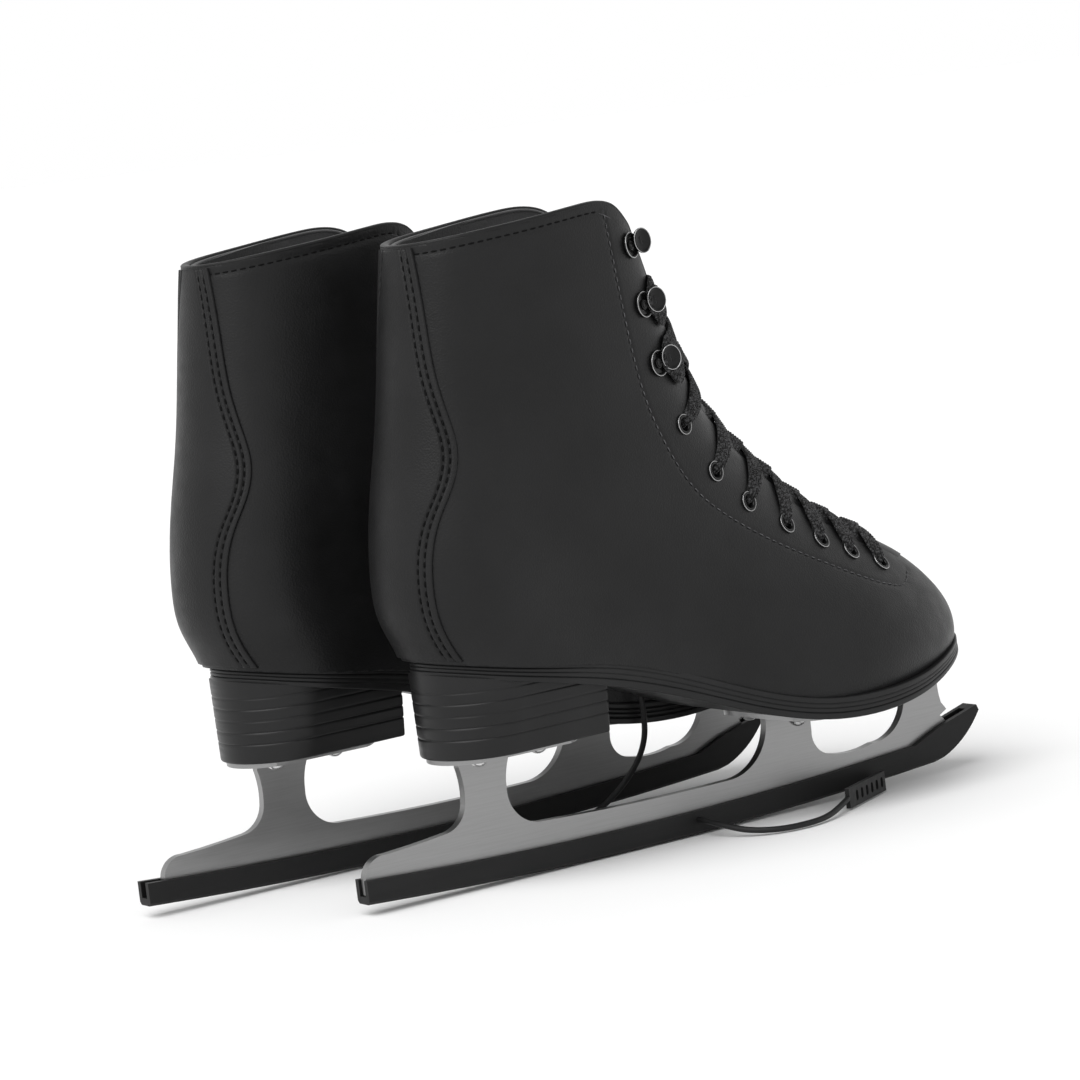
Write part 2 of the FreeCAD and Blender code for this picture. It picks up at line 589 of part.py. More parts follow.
def tube(points, diameter, name):
    """A round cord along straight runs joined by arcs as large as the runs allow."""
    points = [V(*p) for p in points]
    edges = []
    radii = []
    start = points[0]
    for before, corner, after in zip(points, points[1:], points[2:]):
        back = before - corner
        ahead = after - corner
        shorter = min(back.Length, ahead.Length)
        back.normalize()
        ahead.normalize()
        half_turn = (math.pi - back.getAngle(ahead)) / 2
        if half_turn < STRAIGHT:
            continue
        trim = 0.45 * shorter
        radii.append(trim / math.tan(half_turn))
        arc_start = corner + back * trim
        arc_end = corner + ahead * trim
        centre_way = back + ahead
        centre_way.normalize()
        sagitta = radii[-1] * (1 / math.cos(half_turn) - 1)
        edges.append(Part.LineSegment(start, arc_start).toShape())
        edges.append(Part.Arc(arc_start, corner + centre_way * sagitta, arc_end).toShape())
        start = arc_end
    edges.append(Part.LineSegment(start, points[-1]).toShape())
    path = Part.Wire(edges)
    way = points[1] - points[0]
    section = Part.Wire([Part.Circle(points[0], way, diameter / 2).toShape()])
    solid = path.makePipeShell([section], True, False)
    share = solid.Volume / (math.pi * diameter * diameter / 4 * path.Length)
    print(name, "length %.1f" % path.Length, "smallest radius %.1f" % min(radii),
          "volume share %.4f" % share, "valid", solid.isValid())
    return solid


def through_bore(spot, out):
    return [spot + out * level for level in (LACE_UNDER, LACE_IN_BORE, LACE_OVER)]


def lace_routes():
    """The two halves of the lace, from the toe upwards, as points of one route each."""
    routes = []
    for first in (0, 1):
        side = first
        spot, out, towards = EYELET_ROWS[0][side]
        points = through_bore(spot, out)
        for row in range(1, len(ROWS) - 1):
            was, now = ROWS[row - 1][side], ROWS[row][1 - side]
            reach = now[0] - was[0]
            forwards = was[1] + now[1]
            forwards = V(forwards.x, 0, forwards.z)
            forwards.normalize()
            over_edge, over_way = ahead_on_skin(was[0] + reach * 0.22, forwards)
            middle, middle_way = ahead_on_skin(was[0] + reach * 0.5, forwards)
            points.append(over_edge + over_way * (LACE_OVER - 0.7))
            side = 1 - side
            spot, out, towards = now
            on_top = first == row % 2
            if row < len(EYELETS):
                level = -2.2 if on_top else -5.6
                inside, inside_way = ahead_on_skin(was[0] + reach * 0.68, forwards)
                points.append(middle + middle_way * level)
                points.append(inside + inside_way * LACE_UNDER)
                points += through_bore(spot, out)
            else:
                level = 1.4 if on_top else -1.8
                far_edge, far_way = ahead_on_skin(was[0] + reach * 0.76, forwards)
                points.append(middle + middle_way * level)
                points.append(far_edge + far_way * LACE_OVER)
                neck = spot + out * (FITTING_LIFT + HOOK_BASE_T + HOOK_GAP / 2) + towards * HOOK_NECK_AT
                up = out.cross(towards)
                if up.z < 0:
                    up = up * -1
                for a, b in ((-1, 1), (-1, -1), (1, -1), (1, 1)):
                    points.append(neck + up * (a * LACE_AROUND) + towards * (b * LACE_AROUND))
        tuck, tuck_way = on_skin(spot + towards * LACE_TUCK + V(0, 0, 8))
        points.append(tuck + tuck_way * 0.5)
        points.append(tuck + tuck_way * LACE_UNDER + V(0, 0, 6))
        routes.append(points)
    return routes


def lace():
    outer, inner = lace_routes()
    forwards = EYELET_ROWS[0][0][1] + EYELET_ROWS[0][1][1]
    middle, way = ahead_on_skin((outer[0] + inner[0]) * 0.5, V(forwards.x, 0, forwards.z))
    whole = outer[::-1] + [middle + way * LACE_UNDER] + inner
    points = [tuple(p) for p in whole]
    bed_d = LACE_D + 2 * LACE_BED
    ends = ((whole[0], whole[1]), (whole[-1], whole[-2]))
    tips = group([lace_tip(end, before, TIP_R) for end, before in ends])
    beds = [tube(points, bed_d, "lace bed")]
    beds += [lace_tip(end, before, TIP_R + LACE_BED) for end, before in ends]
    return tube(points, LACE_D, "lace"), tips, beds


def strap_tab(start, end):
    """A flat strip on edge, with a row of slots, from the strap's end onwards."""
    start = V(*start)
    way = V(*end) - start
    way.normalize()
    broad = V(0, 0, 1) - way * way.z
    if broad.Length < 0.5:
        broad = V(1, 0, 0) - way * way.x
    broad.normalize()
    face_way = way.cross(broad)
    corner = start - broad * (TAB_WIDTH / 2) - face_way * (TAB_T / 2)
    far_corner = corner + way * TAB_LENGTH
    ring = [corner, far_corner, far_corner + broad * TAB_WIDTH, corner + broad * TAB_WIDTH]
    body = Part.Face(Part.makePolygon(ring + [ring[0]])).extrude(face_way * TAB_T)
    pitch = (TAB_LENGTH - 6.0) / TAB_SLOTS
    cutters = []
    for k in range(TAB_SLOTS):
        middle = start + way * (5.0 + pitch * (k + 0.5)) - face_way * TAB_T
        for shift in (-1, 1):
            at = middle + broad * (shift * (TAB_SLOT_HALF_LENGTH - TAB_SLOT_R))
            cutters.append(Part.makeCylinder(TAB_SLOT_R, 2 * TAB_T, at, face_way))
        span = TAB_SLOT_HALF_LENGTH - TAB_SLOT_R
        low = middle - broad * span - way * TAB_SLOT_R
        far_low = low + way * (2 * TAB_SLOT_R)
        quad = [low, far_low, far_low + broad * (2 * span), low + broad * (2 * span)]
        cutters.append(Part.Face(Part.makePolygon(quad + [quad[0]])).extrude(face_way * (2 * TAB_T)))
    return biggest(body.cut(cutters))


def lace_tip(end, before, radius):
    way = end - before
    way.normalize()
    return Part.makeCylinder(radius, LACE_TIP_LENGTH, end, way)


def skate_parts():
    """Every piece of the right skate except the guard's own parts."""
    layer = stiffener_layer()
    shank_solid = shank()
    heel_screws = screws_for(HEEL_SCREWS, lambda x: HEEL_BOTTOM_Z)
    sole_screws = screws_for(SOLE_SCREWS, tread_height)
    holes = screw_holes(heel_screws + sole_screws)
    heel_plate_solid = heel_plate(holes)
    sole_plate_solid = sole_plate(holes)
    lace_solid, tips, beds = lace()
    board_slab = slab(SEAT, SEAT, grow_high=BOARD_T)
    insole_slab = slab(SEAT, SEAT, grow_low=BOARD_T, grow_high=BOARD_T + INSOLE_T)
    return {
        "upper": biggest(upper().cut(beds)),
        "backstay": backstay(),
        "heel_counter": counter(layer),
        "toe_box": toe_box(layer),
        "eyestay_facings": group([biggest(half.cut(beds)) for half in facings(layer).Solids]),
        "topline_tape": topline_tape(layer),
        "lining": biggest(lining().cut(beds)),
        "tongue": biggest(tongue().cut(beds)),
        "insole_board": biggest(skin(LEATHER + 0.2).common(board_slab)),
        "insole": biggest(skin(LINING_IN + 0.2).common(insole_slab)),
        "shank": shank_solid,
        "outsole": biggest(outsole(shank_solid).cut(holes)),
        "heel": biggest(heel().cut(holes)),
        "heel_plate": heel_plate_solid,
        "sole_plate": sole_plate_solid,
        "heel_screws": group(heel_screws),
        "sole_screws": group(sole_screws),
        "blade": blade([heel_plate_solid, sole_plate_solid]),
        "eyelets": group([biggest(ring.cut(beds[0])) for ring in eyelets().Solids]),
        "speed_hooks": speed_hooks(),
        "hook_rivets": hook_rivets(),
        "lace": lace_solid,
        "lace_tips": tips,
    }


def main():
    os.makedirs("parts", exist_ok=True)
    rear = GUARD_REAR_X - LEFT_GUARD_BACK - STAGGER
    front = 176.0
    right_at = V(-(rear + front) / 2, -SPACING / 2, 0)
    left_at = right_at + V(-STAGGER, SPACING, 0)
    print("right skate at", tuple(right_at), "left skate at", tuple(left_at))

    pieces = {}
    for name, shape in skate_parts().items():
        pieces["right_" + name] = shape.translated(right_at)
        pieces["left_" + name] = shape.mirror(V(0, 0, 0), V(0, 1, 0)).translated(left_at)

    guard_solid = guard()
    pieces["right_guard"] = guard_solid.translated(right_at)
    set_back = guard_solid.copy()
    set_back.rotate(V(0, 0, ROCKER_R), V(0, 1, 0), math.degrees(LEFT_GUARD_BACK / ROCKER_R))
    pieces["left_guard"] = set_back.translated(left_at)
    pieces["right_guard_strap"] = tube(RIGHT_STRAP, STRAP_D, "right strap").translated(right_at)
    pieces["left_guard_strap"] = tube(LEFT_STRAP, STRAP_D, "left strap").translated(left_at)
    pieces["right_strap_tab"] = strap_tab(RIGHT_STRAP[-1], RIGHT_TAB_END).translated(right_at)
    pieces["left_strap_tab"] = strap_tab(LEFT_STRAP[-1], LEFT_TAB_END).translated(left_at)

    for name, shape in pieces.items():
        print("%-24s solids %2d valid %s" % (name, len(shape.Solids), shape.isValid()))
        shape.exportStep("parts/%s.step" % name)


main()
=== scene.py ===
"""The looks of a pair of black figure skates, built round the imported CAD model.

Shapes are worked out in one skate's own axes in millimetres (X forwards, Y to the
skater's left, Z up, the guard's lowest point at the origin), as the right skate.
build() then places them as the right skate and, mirrored, as the left one, in metres.
"""
import math

import bpy
import numpy as np
from mathutils import Matrix, Vector
from mathutils.kdtree import KDTree


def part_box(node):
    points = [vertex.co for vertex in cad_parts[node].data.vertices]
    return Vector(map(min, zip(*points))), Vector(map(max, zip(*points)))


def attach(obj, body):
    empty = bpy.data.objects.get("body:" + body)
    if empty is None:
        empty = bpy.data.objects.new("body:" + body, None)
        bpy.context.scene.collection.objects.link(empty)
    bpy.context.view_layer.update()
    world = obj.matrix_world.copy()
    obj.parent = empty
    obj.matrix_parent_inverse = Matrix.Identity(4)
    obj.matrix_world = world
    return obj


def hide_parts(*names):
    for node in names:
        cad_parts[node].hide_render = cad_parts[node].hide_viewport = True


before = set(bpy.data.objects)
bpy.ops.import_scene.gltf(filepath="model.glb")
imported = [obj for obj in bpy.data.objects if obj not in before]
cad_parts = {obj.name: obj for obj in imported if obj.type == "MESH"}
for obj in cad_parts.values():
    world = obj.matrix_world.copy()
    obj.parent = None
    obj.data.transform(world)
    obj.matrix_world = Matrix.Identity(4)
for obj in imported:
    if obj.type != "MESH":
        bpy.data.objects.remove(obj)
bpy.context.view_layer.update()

MM = 0.001
SIDES = ("right", "left")
BLADE_REAR_X = -131.0

# ---- the boot's sections: height, rear end, front end, half-widths, bend inwards
FRACTIONS = (0.08, 0.30, 0.50, 0.70, 0.90)
STATIONS = (
    (44.0, -92.0, 164.0, (27.0, 26.0, 31.0, 39.0, 28.0), (0.0, -1.5, -0.5, 2.0, 6.0)),
    (56.0, -93.0, 170.0, (28.0, 27.0, 32.0, 41.0, 30.5), (0.0, -1.5, -0.5, 2.0, 6.0)),
    (72.0, -94.0, 169.5, (29.5, 28.5, 33.0, 40.5, 29.0), (0.0, -1.5, -0.5, 2.0, 6.0)),
    (86.0, -95.0, 159.5, (31.0, 30.5, 34.0, 37.5, 24.5), (0.0, -1.2, 0.0, 2.0, 5.0)),
    (98.0, -98.0, 145.0, (31.5, 32.0, 34.0, 33.5, 20.5), (0.0, -0.8, 0.0, 2.0, 4.0)),
    (110.0, -102.5, 124.0, (32.0, 33.0, 33.5, 31.0, 19.0), (0.0, 0.0, 0.0, 1.0, 2.5)),
    (124.0, -103.8, 101.0, (31.0, 34.0, 34.0, 30.0, 18.5), (0.0, 0.0, 0.0, 0.5, 1.0)),
    (140.0, -102.5, 82.0, (29.5, 34.5, 35.0, 30.5, 19.0), (0.0, 0.0, 0.0, 0.0, 0.0)),
    (160.0, -99.0, 62.0, (27.5, 34.5, 35.5, 31.5, 20.5), (0.0, 0.0, 0.0, 0.0, 0.0)),
    (185.0, -93.5, 46.0, (25.0, 33.0, 34.5, 31.5, 21.5), (0.0, 0.0, 0.0, 0.0, 0.0)),
    (215.0, -88.5, 35.5, (23.0, 32.0, 33.5, 31.0, 22.0), (0.0, 0.0, 0.0, 0.0, 0.0)),
    (245.0, -83.5, 27.5, (22.0, 31.0, 33.0, 31.0, 22.0), (0.0, 0.0, 0.0, 0.0, 0.0)),
    (275.0, -79.0, 20.0, (21.5, 31.0, 33.0, 31.0, 22.0), (0.0, 0.0, 0.0, 0.0, 0.0)),
)
# ---- lines seen from the side (x, z), and the throat's half-width at each height
SEAT = ((-112.0, 98.5), (-57.0, 88.5), (-20.0, 82.0), (12.0, 71.5), (45.0, 58.0),
        (75.0, 50.0), (100.0, 48.5), (130.0, 50.5), (152.0, 54.5), (182.0, 62.0))
TREAD = ((-112.0, 91.5), (-57.0, 80.5), (-20.0, 71.5), (12.0, 61.0), (45.0, 48.5),
         (72.0, 41.5), (100.0, 39.8), (130.0, 43.0), (152.0, 48.0), (182.0, 57.0))
RIM = ((-112.0, 251.5), (-100.0, 253.5), (-40.0, 259.8), (-14.0, 262.4), (0.0, 262.4), (8.0, 259.0),
       (15.0, 252.0), (28.0, 243.0), (60.0, 240.0), (182.0, 240.0))
THROAT = ((90.0, 10.5), (118.0, 10.5), (135.0, 12.0), (165.0, 15.0), (200.0, 18.0),
          (235.0, 20.0), (252.0, 22.0), (263.0, 27.0), (280.0, 31.0))
VAMP_SLOT_HALF_WIDTH = 10.5
VAMP_SLOT_END = 131.0
BACKSTAY_EDGE = ((262.0, -79.5), (240.0, -80.5), (222.0, -81.5), (205.0, -82.0), (190.0, -81.0),
                 (176.0, -80.5), (164.0, -84.0), (152.0, -90.0), (138.0, -94.5), (124.0, -96.0),
                 (110.0, -94.5), (92.0, -86.0), (84.0, -82.0))
EYESTAY_LINE = ((-1.0, 258.0), (1.0, 234.0), (4.0, 202.0), (7.0, 184.0), (15.0, 162.0),
                (27.0, 143.0), (44.0, 129.0), (65.0, 116.0), (98.0, 99.0), (124.0, 88.0),
                (134.0, 87.0), (143.0, 92.0))
EYELETS = ((125.0, 97.0), (109.0, 104.5), (93.0, 112.0), (75.0, 121.5), (55.0, 134.0),
           (39.0, 149.0), (26.0, 170.0))
HOOKS = ((17.0, 196.0), (14.0, 220.0), (12.0, 244.0))
LEATHER = 2.0
LINING_OUT = 3.3
LINING_IN = 5.0
BACKSTAY_T = 1.2
BACKSTAY_SEAMS = (3.2, 6.0)     # in from its edge
BACKSTAY_SEAM_DEPTH = 0.62
HOLE_RADIUS = 3.1
RIM_SEAM = 3.6                  # below the rim


# ---- splines ---------------------------------------------------------------
def natural_spline(knots, values, where):
    """A natural cubic spline through values at rising knots."""
    knots = np.asarray(knots, float)
    values = np.asarray(values, float)
    where = np.asarray(where, float)
    n = len(knots)
    h = np.diff(knots)
    system = np.eye(n)
    right = np.zeros_like(values)
    for i in range(1, n - 1):
        system[i, i - 1:i + 2] = (h[i - 1], 2 * (h[i - 1] + h[i]), h[i])
        right[i] = 6 * ((values[i + 1] - values[i]) / h[i] - (values[i] - values[i - 1]) / h[i - 1])
    bend = np.linalg.solve(system, right.reshape(n, -1)).reshape(values.shape)
    k = np.clip(np.searchsorted(knots, where) - 1, 0, n - 2)
    shape = (-1,) + (1,) * (values.ndim - 1)
    step = h[k].reshape(shape)
    a = (knots[k + 1] - where).reshape(shape) / step
    b = (where - knots[k]).reshape(shape) / step
    curved = ((a ** 3 - a) * bend[k] + (b ** 3 - b) * bend[k + 1]) * step * step / 6
    return a * values[k] + b * values[k + 1] + curved


def closed_spline(points, where):
    """A closed cubic spline through points, read at shares of its chord length."""
    n = len(points)
    ahead = np.roll(points, -1, 0)
    h = np.linalg.norm(ahead - points, axis=1)
    back_h = np.roll(h, 1)
    slope = (ahead - points) / h[:, None]
    system = np.diag(2 * (back_h + h))
    for i in range(n):
        system[i, (i + 1) % n] += h[i]
        system[i, i - 1] += back_h[i]
    bend = np.linalg.solve(system, 6 * (slope - np.roll(slope, 1, 0)))
    knots = np.concatenate(([0.0], np.cumsum(h)))
    at = np.mod(where, 1.0) * knots[-1]
    k = np.clip(np.searchsorted(knots, at, side="right") - 1, 0, n - 1)
    b = ((at - knots[k]) / h[k])[:, None]
    a = 1 - b
    step = h[k][:, None]
    nxt = (k + 1) % n
    curved = ((a ** 3 - a) * bend[k] + (b ** 3 - b) * bend[nxt]) * step * step / 6
    return a * points[k] + b * points[nxt] + curved


def side_line(points, x):
    """The height of a line seen from the side, at x."""
    table = np.asarray(points)
    return natural_spline(table[:, 0], table[:, 1], x)


# ---- the boot's skin, as a table of points and outward directions ----------
AROUND = 560
LEVEL_STEP = 1.2
LEVELS = np.arange(38.0, 274.0, LEVEL_STEP)
SHARES = np.arange(AROUND) / AROUND


def skin_table():
    """The skin's points and outward directions, one row for each level."""
    rings = []
    for _, rear, front, widths, bends in STATIONS:
        xs = [rear + f * (front - rear) for f in FRACTIONS]
        outer = [(x, b - w) for x, w, b in zip(xs, widths, bends)]
        inner = [(x, b + w) for x, w, b in zip(xs, widths, bends)]
        rings.append([(rear, 0.0)] + outer + [(front, bends[-1])] + inner[::-1])
    controls = natural_spline([s[0] for s in STATIONS], rings, LEVELS)
    table = np.zeros((len(LEVELS), AROUND, 3))
    for row, control in zip(table, controls):
        row[:, :2] = closed_spline(control, SHARES)
    table[:, :, 2] = LEVELS[:, None]
    along = np.roll(table, -1, 1) - np.roll(table, 1, 1)
    rise = np.gradient(table, axis=0)
    way = np.cross(along, rise)
    way /= np.linalg.norm(way, axis=2, keepdims=True)
    return table, way


SKIN, SKIN_WAY = skin_table()


def skin_at(share, z):
    """Points and outward directions of the skin at shares of the way round and heights."""
    share = np.mod(np.asarray(share, float), 1.0) * AROUND
    level = np.clip((np.asarray(z, float) - LEVELS[0]) / LEVEL_STEP, 0, len(LEVELS) - 1.001)
    i = share.astype(int)
    k = level.astype(int)
    f = (share - i)[..., None]
    g = (level - k)[..., None]
    i %= AROUND
    j = (i + 1) % AROUND

    def mix(table):
        low = table[k, i] * (1 - f) + table[k, j] * f
        high = table[k + 1, i] * (1 - f) + table[k + 1, j] * f
        return low * (1 - g) + high * g

    way = mix(SKIN_WAY)
    return mix(SKIN), way / np.linalg.norm(way, axis=-1, keepdims=True)


def section(z):
    """The boot's outline at height z."""
    return skin_at(SHARES, np.full(AROUND, float(z)))[0]


def share_at(x, z, side):
    """Where the section at height z passes x, on one side (-1 outer, 1 inner)."""
    ring = section(z)
    toe = int(np.argmax(ring[:, 0]))
    if side < 0:
        return float(np.interp(x, ring[:toe + 1, 0], SHARES[:toe + 1]))
    back = ring[toe:, 0][::-1]
    return float(np.interp(x, back, SHARES[toe:][::-1]))


def girth(z):
    """The length of the way round the boot at height z."""
    ring = section(z)
    return float(np.linalg.norm(np.roll(ring, -1, 0) - ring, axis=1).sum())


# ---- meshes ----------------------------------------------------------------
class Shape:
    """Vertices and faces gathered for one piece."""

    def __init__(self):
        self.points = []
        self.faces = []
        self.count = 0

    def add(self, points, faces):
        self.points.append(np.asarray(points, float).reshape(-1, 3))
        self.faces += [tuple(v + self.count for v in face) for face in faces]
        self.count += len(self.points[-1])

    def all_points(self):
        return np.concatenate(self.points)


def grid_faces(rows, columns, closed=False, flip=False):
    """Quads of a grid whose vertices run row by row; closed joins the last column to the first."""
    faces = []
    last = columns if closed else columns - 1
    for r in range(rows - 1):
        for c in range(last):
            d = (c + 1) % columns
            quad = (r * columns + c, r * columns + d, (r + 1) * columns + d, (r + 1) * columns + c)
            faces.append(quad[::-1] if flip else quad)
    return faces


def clip(data, faces, values):
    """Keeps the part of a mesh where a value per vertex is positive, cutting faces cleanly."""
    points = list(data)
    kept = []
    cuts = {}
    inside = values > 0

    def cut(a, b):
        key = (a, b) if a < b else (b, a)
        if key not in cuts:
            share = values[key[0]] / (values[key[0]] - values[key[1]])
            points.append(data[key[0]] * (1 - share) + data[key[1]] * share)
            cuts[key] = len(points) - 1
        return cuts[key]

    for face in faces:
        marks = [inside[v] for v in face]
        if all(marks):
            kept.append(face)
        elif any(marks):
            ring = []
            for n, v in enumerate(face):
                w = face[(n + 1) % len(face)]
                if marks[n]:
                    ring.append(v)
                if marks[n] != marks[(n + 1) % len(face)]:
                    ring.append(cut(v, w))
            if len(ring) > 2:
                kept.append(tuple(ring))
    used = sorted({v for face in kept for v in face})
    place = {v: n for n, v in enumerate(used)}
    return np.array([points[v] for v in used]), [tuple(place[v] for v in f) for f in kept]


def edge_loops(faces):
    """The open edges of a mesh, chained into loops that keep the faces' direction."""
    seen = {}
    for face in faces:
        for a, b in zip(face, face[1:] + face[:1]):
            if (b, a) in seen:
                del seen[(b, a)]
            else:
                seen[(a, b)] = True
    ahead = {a: b for a, b in seen}
    loops = []
    while ahead:
        start = next(iter(ahead))
        loop = [start]
        here = ahead.pop(start)
        while here != start and here in ahead:
            loop.append(here)
            here = ahead.pop(here)
        loops.append(loop)
    return loops


def throat_value(points):
    """Positive on the leather, negative in the opening down the boot's front."""
    x, y, z = points[:, 0], points[:, 1], points[:, 2]
    table = np.asarray(THROAT)
    half = np.interp(z, table[:, 0], table[:, 1])
    end = VAMP_SLOT_END - VAMP_SLOT_HALF_WIDTH
    straight = np.abs(y) - half
    round_end = np.hypot(x - end, y) - VAMP_SLOT_HALF_WIDTH
    value = np.where(x < end, straight, round_end)
    return np.where((x < -4) | (z < 84), 5.0, value)


def boot_sheet(step, top, bottom, hole_radius):
    """The leather's face cut to its seat, rim, throat and holes, as rows of x, y, z, way x, y, z."""
    rows = slice(None, None, step)
    points = SKIN[rows, ::step]
    ways = SKIN_WAY[rows, ::step]
    data = np.concatenate((points, ways), axis=2)
    height, around = data.shape[:2]
    data = data.reshape(-1, 6)
    faces = grid_faces(height, around, closed=True)
    data, faces = clip(data, faces, side_line(RIM, data[:, 0]) - top - data[:, 2])
    data, faces = clip(data, faces, data[:, 2] - side_line(SEAT, data[:, 0]) - bottom)
    data, faces = clip(data, faces, throat_value(data))
    if hole_radius:
        near = np.full(len(data), 99.0)
        for spot, out, _ in ALL_EYELETS:
            gap = data[:, :3] - spot
            off = np.linalg.norm(gap - (gap @ out)[:, None] * out, axis=1)
            off = np.where(np.abs(gap @ out) < 8, off, 99.0)
            near = np.minimum(near, off)
        data, faces = clip(data, faces, near - hole_radius)
    return data, faces


def between(top, under, faces):
    """A closed shape between two faces with the same mesh."""
    n = len(top)
    closed = list(faces) + [tuple(v + n for v in f[::-1]) for f in faces]
    for loop in edge_loops(faces):
        for a, b in zip(loop, loop[1:] + loop[:1]):
            closed.append((b, a, a + n, b + n))
    return np.concatenate((top, under)), closed


def shell(data, faces, outer, inner):
    """A closed sheet of leather: the face moved out and in, and its open edges joined."""
    points, ways = data[:, :3], data[:, 3:]
    return between(points + ways * outer, points + ways * inner, faces)


def resample(points, step, closed=False):
    """Rows read again at even steps of length."""
    points = np.asarray(points, float)
    if closed:
        points = np.concatenate((points, points[:1]))
    lengths = np.linalg.norm(np.diff(points[:, :3], axis=0), axis=1)
    along = np.concatenate(([0.0], np.cumsum(lengths)))
    count = max(int(round(along[-1] / step)), 2)
    where = np.linspace(0, along[-1], count + 1)
    made = np.stack([np.interp(where, along, points[:, c]) for c in range(points.shape[1])], 1)
    return made[:-1] if closed else made


def rounded(gap, width):
    """A quarter-round rise from 0 at an edge to 1 at a width in from it."""
    return np.sqrt(np.clip(1 - (1 - np.clip(gap / width, 0, 1)) ** 2, 0, 1))


def unit(rows):
    return rows / np.maximum(np.linalg.norm(rows, axis=-1, keepdims=True), 1e-9)


def sweep(points, across, up, profile, closed=False):
    """A closed profile of (across, up) pairs carried along points."""
    profile = np.asarray(profile)
    if profile.ndim == 2:
        profile = np.repeat(profile[None], len(points), 0)
    rings = points[:, None] + profile[:, :, :1] * across[:, None] + profile[:, :, 1:] * up[:, None]
    rows, columns = rings.shape[:2]
    if closed:
        faces = grid_faces(rows + 1, columns, closed=True)
        faces = [tuple(v % (rows * columns) for v in face) for face in faces]
    else:
        faces = grid_faces(rows, columns, closed=True)
        faces.append(tuple(range(columns))[::-1])
        faces.append(tuple((rows - 1) * columns + c for c in range(columns)))
    return rings.reshape(-1, 3), faces


def lathe(profile, spot, out, segments=36):
    """A profile of (radius, height) turned about the line out of a spot."""
    side = np.cross(out, (0.0, 0.0, 1.0) if abs(out[2]) < 0.9 else (1.0, 0.0, 0.0))
    side /= np.linalg.norm(side)
    other = np.cross(out, side)
    angle = np.arange(segments) * 2 * math.pi / segments
    ring = np.cos(angle)[:, None] * side + np.sin(angle)[:, None] * other
    points = [spot + ring * r + out * h for r, h in profile]
    return np.concatenate(points), grid_faces(len(profile), segments, closed=True)


def closed_lathe(profile, spot, out, segments=36):
    """A ring-shaped lathe: the last level joins the first."""
    points, faces = lathe(profile, spot, out, segments)
    last = (len(profile) - 1) * segments
    for c in range(segments):
        d = (c + 1) % segments
        faces.append((last + c, last + d, d, c))
    return points, faces


# ---- placing ---------------------------------------------------------------
def skate_origin(side):
    low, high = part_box(side + "_blade")
    return np.array([low.x - BLADE_REAR_X * MM, (low.y + high.y) / 2, 0.0])


ORIGIN = {side: skate_origin(side) for side in SIDES}


def place(points, side):
    scaled = np.asarray(points) * MM
    if side == "left":
        scaled = scaled * (1, -1, 1)
    return scaled + ORIGIN[side]


def add_object(name, data):
    obj = bpy.data.objects.new(name, data)
    bpy.context.scene.collection.objects.link(obj)
    return obj


def make_object(name, points, faces, material):
    mesh = bpy.data.meshes.new(name)
    mesh.from_pydata([tuple(p) for p in points], [], faces)
    mesh.validate()
    mesh.materials.append(material)
    mesh.polygons.foreach_set("use_smooth", [True] * len(mesh.polygons))
    return add_object(name, mesh)


def build(name, shape, material, replaces=(), sharp=None):
    """One piece for the right skate and its mirror image for the left one."""
    points = shape.all_points()
    for side in SIDES:
        faces = shape.faces
        if side == "left":
            faces = [face[::-1] for face in faces]
        obj = make_object(f"{side}_{name}_look", place(points, side), faces, material)
        if sharp is not None:
            obj.data.set_sharp_from_angle(angle=math.radians(sharp))
        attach(obj, f"{side}_skate")
        if replaces:
            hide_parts(*[f"{side}_{node}" for node in replaces])


# ---- fittings' places ------------------------------------------------------
def fitting(x, z, side):
    share = share_at(x, z, side)
    spot, out = skin_at(share, z)
    towards = np.array([0.0, -side, 0.0])
    towards = unit(towards - out * (towards @ out))
    return spot, out, towards


EYELET_ROWS = [[fitting(x, z, side) for side in (-1, 1)] for x, z in EYELETS]
HOOK_ROWS = [[fitting(x, z, side) for side in (-1, 1)] for x, z in HOOKS]
ALL_EYELETS = [f for row in EYELET_ROWS for f in row]
ALL_HOOKS = [f for row in HOOK_ROWS for f in row]


